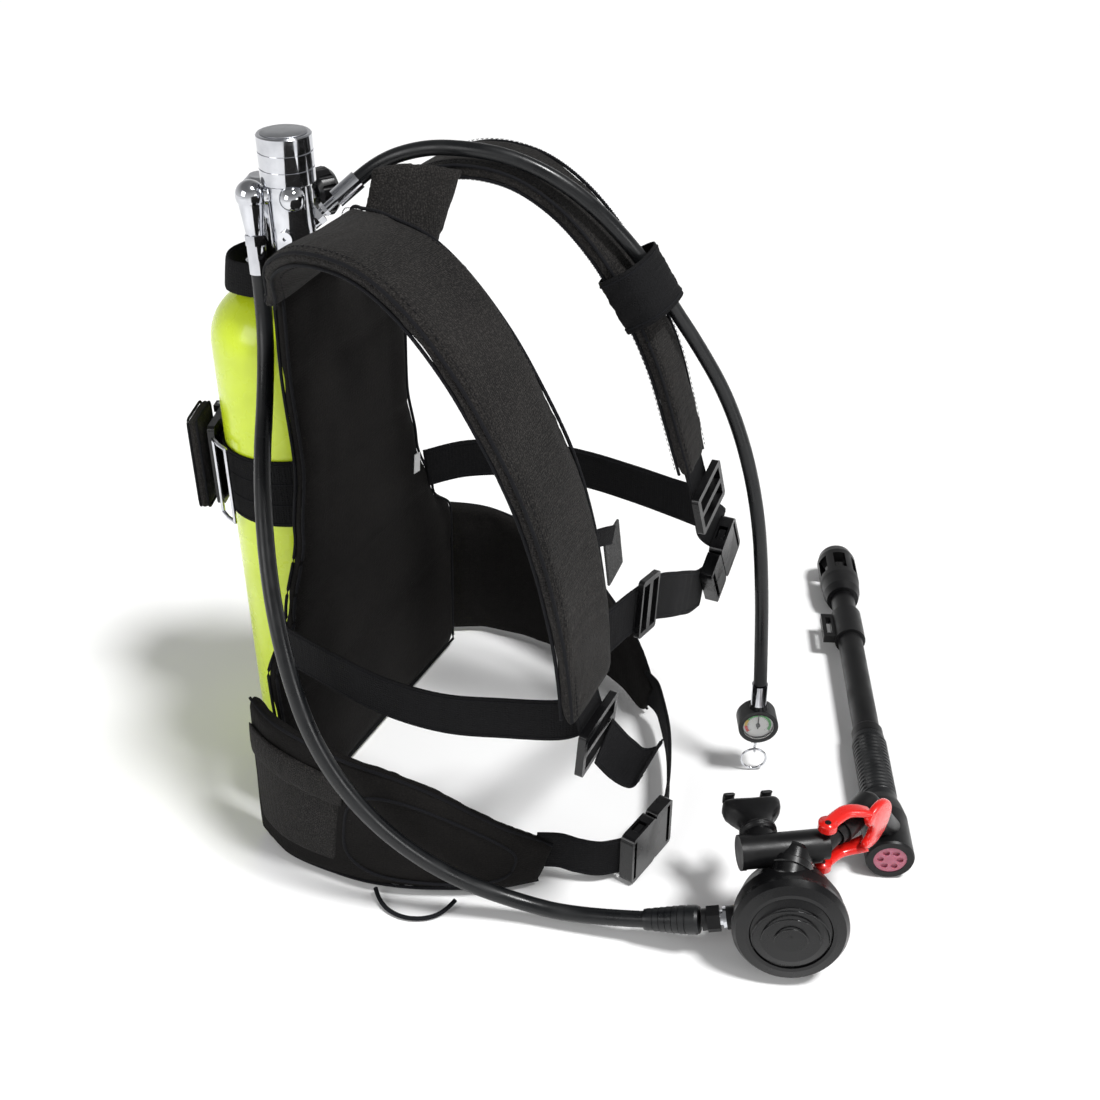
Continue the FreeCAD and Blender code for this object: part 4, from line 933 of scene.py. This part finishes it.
class FinishSnorkel(bpy.types.Operator):
    """Finishes the snorkel from its purge chamber to its dry top"""
    bl_idname = "airpack.snorkel"
    bl_label = "Snorkel"

    def execute(self, context):
        dress("satin plastic", "lower_chamber", "snorkel_tube", "snorkel_keeper", "dry_top")
        dress("rubber", "flex_section")
        dress("purge", "purge_valve")
        dress("plastic", "dry_float")
        return {"FINISHED"}


def strap_stations(line):
    return [(Vector((x, y, z)) * MM, Vector((1, 0, 0)), w * MM) for x, y, z, w in line]


def padded_strap(name, node, line, seed):
    thick = sizes().strap_thickness
    stations = strap_stations(line)
    ribbon = Ribbon([(c, w, width - 0.003) for c, w, width in stations], 84)
    piece = skinned(name, pad_rings(ribbon, thick - 0.001, crown=0.22, wrinkle=0.0011,
                                    seed=seed), "cloth")
    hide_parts(node)
    piece = inflate(piece, voxel=0.005, cap=0.0025)
    outer = Ribbon(stations, 160)
    for side, word in ((-1, "inner"), (1, "outer")):
        for lift, face in ((0.0042, "top"), (-0.0042, "under")):
            points = [outer.edge(0.012 + 0.976 * k / 160, side, 0.0034, lift)
                      for k in range(161)]
            piping("%s_%s_%s_piping" % (name, word, face), points)
    stitches(name + "_stitches", outer, thick)
    return piece


def stitches(name, ribbon, thick):
    """A sewn line of short threads a little inside each edge."""
    groups = []
    for side in (-0.8, 0.8):
        for lift in (thick / 2 + 0.0012, -thick / 2 - 0.0012):
            for k in range(110):
                t = 0.02 + 0.96 * k / 110
                points = [ribbon.at(t + d, side, lift * (0.9 + 0.1 * abs(h)))
                          for d, h in ((0.0, 1), (0.0025, 0), (0.005, 1))]
                groups.append((tube_rings(points, 0.00028, 5), False))
    return join_rings(name, groups, "binding")


class BuildShoulderStraps(bpy.types.Operator):
    """Makes both padded shoulder straps with piping and stitching"""
    bl_idname = "airpack.shoulder_straps"
    bl_label = "Shoulder straps"

    def execute(self, context):
        padded_strap("strap_right", "shoulder_strap_right", [(-56, -71, 466, 88)] + RIGHT_LINE,
                     3.0)
        padded_strap("strap_left", "shoulder_strap_left", [(48, -71, 466, 84)] + LEFT_LINE,
                     11.0)
        return {"FINISHED"}


class BuildCollar(bpy.types.Operator):
    """Makes the padded collar between the straps"""
    bl_idname = "airpack.collar"
    bl_label = "Collar"

    def execute(self, context):
        corners = [((-57, -115, 521), (-28, -128, 543)), ((-30, -130, 500), (-3, -144, 545)),
                   ((5, -150, 474), (22, -158, 538))]
        line = []
        for low, high in corners:
            low, high = Vector(low), Vector(high)
            line.append(((low + high) / 2, high - low, (high - low).length))
        stations = [(Vector(c) * MM, Vector(w), width * MM) for c, w, width in line]
        piece = skinned("collar", pad_rings(Ribbon(stations, 24), 0.008, 0.2, 0.0006, 5.0),
                        "cloth")
        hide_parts("yoke_collar")
        inflate(piece, voxel=0.004, cap=0.0015)
        return {"FINISHED"}


class BuildBackPanel(bpy.types.Operator):
    """Makes the padded back panel with its piping and sewn channels"""
    bl_idname = "airpack.back_panel"
    bl_label = "Back panel"

    def half_width(self, z):
        rows = sorted((h, x) for x, h in PANEL if x > 0)
        for (z0, x0), (z1, x1) in zip(rows, rows[1:]):
            if z <= z1:
                f = (z - z0) / (z1 - z0)
                f = f * f * (3 - 2 * f)
                return x0 + (x1 - x0) * f
        return rows[-1][1]

    def execute(self, context):
        thick = PANEL_T - 1.5
        middle = PANEL_BACK_Y - PANEL_T / 2
        rings = []
        rows = 96
        for i in range(rows + 1):
            z = 5.5 + (468.0 - 5.5) * i / rows
            end = math.sqrt(min(1.0, max(0.08, min(i, rows - i) / 3)))
            half = self.half_width(z) - 2.0
            ring = []
            for across, deep in pad_outline(half, thick / 2, 26, 8):
                x, y = across / half, deep / (thick / 2)
                seam = min(abs(z - level) for level in (120, 205, 300, 395))
                groove = 1.0 - 0.45 * math.exp(-(seam / 5.0) ** 2)
                side_seam = 1.0 - 0.3 * math.exp(-((abs(x) - 0.62) * half / 4.0) ** 2)
                fat = thick / 2 * end * groove * side_seam * (0.86 + 0.14 * (1 - x * x))
                ring.append(Vector((x * half, middle + y * fat, z)) * MM)
            rings.append(ring)
        piece = skinned("back_pad", rings, "lining")
        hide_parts("back_panel")
        inflate(piece, voxel=0.006, cap=0.0015)
        for y, word in ((PANEL_BACK_Y - 3.0, "rear"), (PANEL_BACK_Y - PANEL_T + 3.0, "front")):
            points = []
            for k in range(100):
                z = 8 + 457 * k / 99
                points.append(Vector((self.half_width(z) - 3.8, y, z)) * MM)
            points += [Vector((-p.x, p.y, p.z)) for p in points[::-1]]
            piping("back_piping_" + word, points, closed=True)
        self.label()
        return {"FINISHED"}

    def label(self):
        """Small white sewn label at the panel's left edge."""
        f = Local(Vector((0.083, -0.0722, 0.242)), (0.15, 0, 1), (0, -1, 0))
        rings = [[f.at(a, x * 5, 0.5 + y * 0.5) for x, y in superellipse(16, 0.3)]
                 for a in (-9, -8.6, 0, 8.6, 9)]
        skinned("sewn_label", rings, "tag")


class BuildHipWings(bpy.types.Operator):
    """Makes both padded hip wings, the pocket and the piped front patch"""
    bl_idname = "airpack.hip_wings"
    bl_label = "Hip wings"

    def execute(self, context):
        first = None
        for sign, word in ((-1, "right"), (1, "left")):
            ribbon = self.ribbon(sign)
            rings = pad_rings(ribbon, sizes().wing_thickness, 0.2, 0.0007, 8.0 + sign)
            piece = skinned("hip_wing_" + word, rings, "lining")
            inflate(piece, voxel=0.005, cap=0.0015)
            first = first or piece
            self.trim(ribbon, sign, word)
        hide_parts("hip_wings")
        return {"FINISHED"}

    def ribbon(self, sign):
        stations = []
        for x, y, height, lean in WING:
            centre = Vector((sign * x, y, WING_FOOT + height / 2)) * MM
            across = Vector((-sign * lean, 0, 1)).normalized()
            stations.append((centre, across, (height - 2) * MM))
        return Ribbon(stations, 90)

    def trim(self, ribbon, sign, word):
        """Edge piping, a piped patch at the front and, on the right, a pocket."""
        out = self.outward(ribbon, sign)
        for side, place in ((1, "upper"), (-1, "lower")):
            points = [ribbon.edge(0.01 + 0.98 * k / 120, side, 0.0020, out * 0.0038)
                      for k in range(121)]
            piping("wing_%s_%s_piping" % (word, place), points)
        loop = [ribbon.at(0.62 + 0.26 * x, -0.05 + 0.72 * y, out * 0.0078)
                for x, y in superellipse(80, 0.6)]
        piping("wing_%s_patch_piping" % word, loop, closed=True)
        if sign < 0:
            self.patch(ribbon, out, "wing_pocket", 0.05, 0.34, -0.7, 0.55, 0.0082)
            self.patch(ribbon, out, "wing_pocket_flap", 0.04, 0.35, 0.3, 0.72, 0.0104)

    def outward(self, ribbon, sign):
        """1 or -1: which way along the ribbon's normal leads away from the wearer."""
        return 1 if ribbon.rows[40][2].x * sign > 0 else -1

    def patch(self, ribbon, out, name, u0, u1, v0, v1, lift):
        """A sewn-on layer of cloth with rounded edges."""
        rings = []
        steps = 26
        for i in range(steps + 1):
            u = u0 + (u1 - u0) * i / steps
            close = math.sqrt(min(1.0, max(0.1, min(i, steps - i) / 1.6)))
            middle = (v0 + v1) / 2
            half = (v1 - v0) / 2
            rings.append([ribbon.at(u, middle + x * half * (0.97 + 0.03 * close),
                                    out * (lift - 0.0016 + y * 0.0016 * close
                                           + 0.0012 * (1 - x * x) * close))
                          for x, y in superellipse(24, 0.5)])
        return skinned(name, rings, "cloth")


def tape(line, width, thickness, steps=40):
    """Rings of a woven tape through (x, y, z) points in millimetres."""
    stations = [(Vector(p) * MM, Vector(w), width * MM) for p, w in line]
    ribbon = Ribbon(stations, steps)
    outline = superellipse(20, 0.3)
    return [[c + w * (x * wide / 2) + n * (y * thickness / 2 * (0.75 + 0.25 * (1 - x ** 6)))
             for x, y in outline] for c, w, n, wide in ribbon.rows]


class BuildWebbing(bpy.types.Operator):
    """Makes the woven straps of the harness"""
    bl_idname = "airpack.webbing"
    bl_label = "Webbing"

    def execute(self, context):
        up = (0, 0, 1)
        self.lay("side_band_tapes", "side_bands", [
            ([(-139, -70, 194), (-152, -120, 194), (-157, -175, 187), (-153, -225, 184),
              (-143, -272, 188), (-133, -310, 192), (-124, -325, 196)], up, 38),
            ([(102, -70, 226), (128, -100, 230), (148, -150, 232), (152, -205, 232),
              (146, -255, 232), (128, -302, 238), (111, -329, 246)], up, 38)])
        self.lay("belt_tapes", "belt_webbing", [
            ([(112, -336.4, 168), (84, -337.5, 179), (50, -341, 200), (14, -344, 222),
              (-24, -341, 242), (-60, -337, 250), (-88, -332, 251), (-100, -329, 251)],
             (0.3, 0, 0.95), 38),
            ([(-118, -284, 36), (-109, -300.5, 34), (-104, -316, 30), (-97, -332, 27),
              (-84, -347, 26)], up, 38),
            ([(118, -284, 36), (109, -300.5, 34), (92, -313, 32), (58, -332, 31),
              (24, -346, 29), (-6, -356, 27), (-27, -361, 26)], up, 38)])
        self.lay("end_tapes", "webbing_ends", [
            ([(104, -334.4, 252), (112, -334.4, 238), (126, -335.4, 224), (142, -336.4, 211),
              (150, -336.4, 204)], (0.62, 0, 0.78), 38),
            ([(-124, -344, 178), (-121, -356, 164), (-118, -367, 157), (-116, -375, 160),
              (-116, -379, 168)], (1, 0, 0), 46),
            ([(-126, -327.5, 226), (-126, -331, 208), (-125, -335, 192), (-124, -337, 184)],
             (1, 0, 0), 40),
            ([(90, -327, 302), (95, -330, 284), (103, -334.4, 258)], (0.97, 0, 0.2), 34),
            ([(-101, -322, 334), (-90, -325, 331), (-74, -326, 324)], (0.35, 0, 1), 14)])
        half = [(24, -54.6, 452), (33, -34, 450), (35, -4, 446), (26, 23, 444)]
        loop = [(-x, y, z) for x, y, z in half] + [(0, 35, 443)] + half[::-1]
        stations = []
        for x, y, z in loop:
            lean = Vector((x, max(y, 0), 0)).normalized() * -0.15
            stations.append(((x, y, z), (UP + lean).normalized()))
        neck = join_rings("neck_tape", [(tape(stations, 26, 0.0026), False)], "webbing")
        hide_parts("neck_strap")
        self.band()
        self.tab()
        return {"FINISHED"}

    def lay(self, name, node, lines):
        thick = sizes().webbing_thickness
        groups = [(tape([(p, across) for p in line], width, thick), False)
                  for line, across, width in lines]
        piece = join_rings(name, groups, "webbing")
        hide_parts(node)
        ridges = []
        for line, across, width in lines:
            ribbon = Ribbon([(Vector(p) * MM, Vector(across), width * MM) for p in line], 60)
            for side in (-0.84, 0.84):
                for lift in (-thick * 0.42, thick * 0.42):
                    points = [ribbon.at(0.01 + 0.98 * k / 60, side, lift) for k in range(61)]
                    ridges.append((tube_rings(points, 0.0005, 6), False))
        join_rings(name + "_selvedge", ridges, "binding")

    def band(self):
        """The wide woven band round the cylinder."""
        foot, top = 237, 299
        middle, half, reach = (foot + top) / 2, (top - foot) / 2, 55.4
        rings = []
        for k in range(120):
            t = 2 * math.pi * k / 120
            rings.append([Vector(((reach + y * 1.1) * math.cos(t), (reach + y * 1.1)
                                  * math.sin(t), middle + x * half)) * MM
                          for x, y in superellipse(28, 0.25)])
        piece = skinned("cylinder_tape", rings, "webbing", closed=True)
        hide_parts("cylinder_band")
        groups = []
        for level in (foot + 3, middle - 10, middle + 10, top - 3):
            points = [Vector((x, y, level)) * MM for x, y in circle(120, 56.4)]
            groups.append((tube_rings(points, 0.0006, 6, closed=True), True))
        join_rings("cylinder_tape_ribs", groups, "binding")

    def tab(self):
        """Short ribbed grey tab hanging from the right strap."""
        f = Local(Vector((-0.070, -0.324, 0.306)), (0.25, 0, -1), (0, -1, 0))
        rings = []
        for i in range(45):
            a = -22 + i
            rib = 0.35 * (i % 2)
            rings.append([f.at(a, x * 13, 1.2 + y * (1.0 + rib))
                          for x, y in superellipse(16, 0.3)])
        piece = skinned("webbing_tab", rings, "tab")


class BuildSleeve(bpy.types.Operator):
    """Makes the fabric cuff that holds the gauge hose to the left strap"""
    bl_idname = "airpack.sleeve"
    bl_label = "Hose sleeve"

    def execute(self, context):
        f = Local(SLEEVE_AT, (3, -26, -41), (0, -0.85, 0.52))
        rings = []
        steps = 40
        for i in range(steps + 1):
            a = -22 + 44 * i / steps
            wave = noise.noise(Vector((i * 0.35, 2.0, 0.0))) * 0.7
            ring = []
            for x, y in superellipse(56, 0.5):
                swell = 1.0 + 0.02 * math.sin(i * 0.5)
                b = x * 30.5 * swell
                top = 28 if y > 0 else 11.5
                c = 0.5 + y * top * (0.93 + 0.07 * math.cos(b / 12.0)) + wave
                ring.append(f.at(a, b, c))
            rings.append(ring)
        inner = []
        for ring in rings:
            centre = sum(ring, Vector()) / len(ring)
            inner.append([centre + (p - centre) * 0.95 for p in ring])
        piece = skinned("sleeve", rings + inner[::-1], "webbing", closed=True)
        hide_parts("hose_sleeve")
        groups = [(tube_rings(rings[i], 0.0007, 6, closed=True), True) for i in (3, 37)]
        join_rings("sleeve_hems", groups, "binding")
        return {"FINISHED"}


class FinishHardware(bpy.types.Operator):
    """Finishes the buckles, strap adjusters and the cam buckle"""
    bl_idname = "airpack.hardware"
    bl_label = "Buckles and cam"

    def execute(self, context):
        dress("plastic", "strap_adjusters", "buckle_housings", "buckle_plugs", "cam_body",
              "waist_buckle_arm_low", "waist_buckle_arm_high", "sternum_buckle_arm_low",
              "sternum_buckle_arm_high")
        self.cam_pad()
        return {"FINISHED"}

    def cam_pad(self):
        """Padded cover of the cam lever, its knuckle and the web between them."""
        f = Local(Vector((-19.427, 53.375, 274.0)) * MM, UP, (-0.342, 0.9397, 0))
        line = [(f.at(a, -5.5, 17.6), f.b, 0.0412) for a in (-41.5, -20, 1, 22, 43.5)]
        ribbon = Ribbon(line, 40)
        pad = skinned("cam_pad", pad_rings(ribbon, 0.0102, 0.16, 0.0005, 21.0), "cloth",
                      "cam_handle")
        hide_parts("cam_lever")
        inflate(pad, voxel=0.0035, cap=0.0008)
        rims = []
        for lift in (-0.0036, 0.0040):
            loop = [ribbon.at(0.5 + 0.49 * u, 0.93 * v, lift)
                    for u, v in superellipse(64, 0.18)]
            rims.append((tube_rings(loop, 0.0011, 8, closed=True), True))
        join_rings("cam_pad_piping", rims, "binding", "cam_handle")
        hinge = [f.at(a, 21, 8) for a in (-30, -10, 10, 30)]
        pin = [f.at(a, 21, 8) for a in (-37, 0, 37)]
        web = Ribbon([(f.at(a, 13.5, 10.6), f.b, 0.014) for a in (-29, -10, 10, 29)], 20)
        join_rings("cam_knuckle", [(tube_rings(hinge, 0.0046, 20), False),
                                   (pad_rings(web, 0.005), False)], "plastic", "cam_handle")
        join_rings("cam_pin", [(tube_rings(pin, 0.002, 16), False)], "steel", "cam_handle")


OPERATORS = (BuildStage, BuildHoses, FinishCylinder, FinishFirstStage, FinishGauge,
             FinishSecondStage, FinishMouthpiece, FinishSnorkel, BuildShoulderStraps,
             BuildCollar, BuildBackPanel, BuildHipWings, BuildWebbing, BuildSleeve,
             FinishHardware)


class AirPackPanel(bpy.types.Panel):
    bl_idname = "VIEW3D_PT_air_pack"
    bl_label = "Air pack"
    bl_space_type = "VIEW_3D"
    bl_region_type = "UI"
    bl_category = "Air pack"

    def draw(self, context):
        for settings in (context.scene.air_pack_sizes, context.scene.air_pack_colours):
            for key in settings.__annotations__:
                self.layout.prop(settings, key)
        for operator in OPERATORS:
            self.layout.operator(operator.bl_idname)


CLASSES = (AirPackSizes, AirPackColours) + OPERATORS + (AirPackPanel,)


def register():
    for cls in CLASSES:
        bpy.utils.register_class(cls)
    bpy.types.Scene.air_pack_sizes = PointerProperty(type=AirPackSizes)
    bpy.types.Scene.air_pack_colours = PointerProperty(type=AirPackColours)


def unregister():
    del bpy.types.Scene.air_pack_colours
    del bpy.types.Scene.air_pack_sizes
    for cls in reversed(CLASSES):
        bpy.utils.unregister_class(cls)


def main():
    register()
    for operator in OPERATORS:
        family, name = operator.bl_idname.split(".")
        getattr(getattr(bpy.ops, family), name)()


if __name__ == "__main__":
    main()
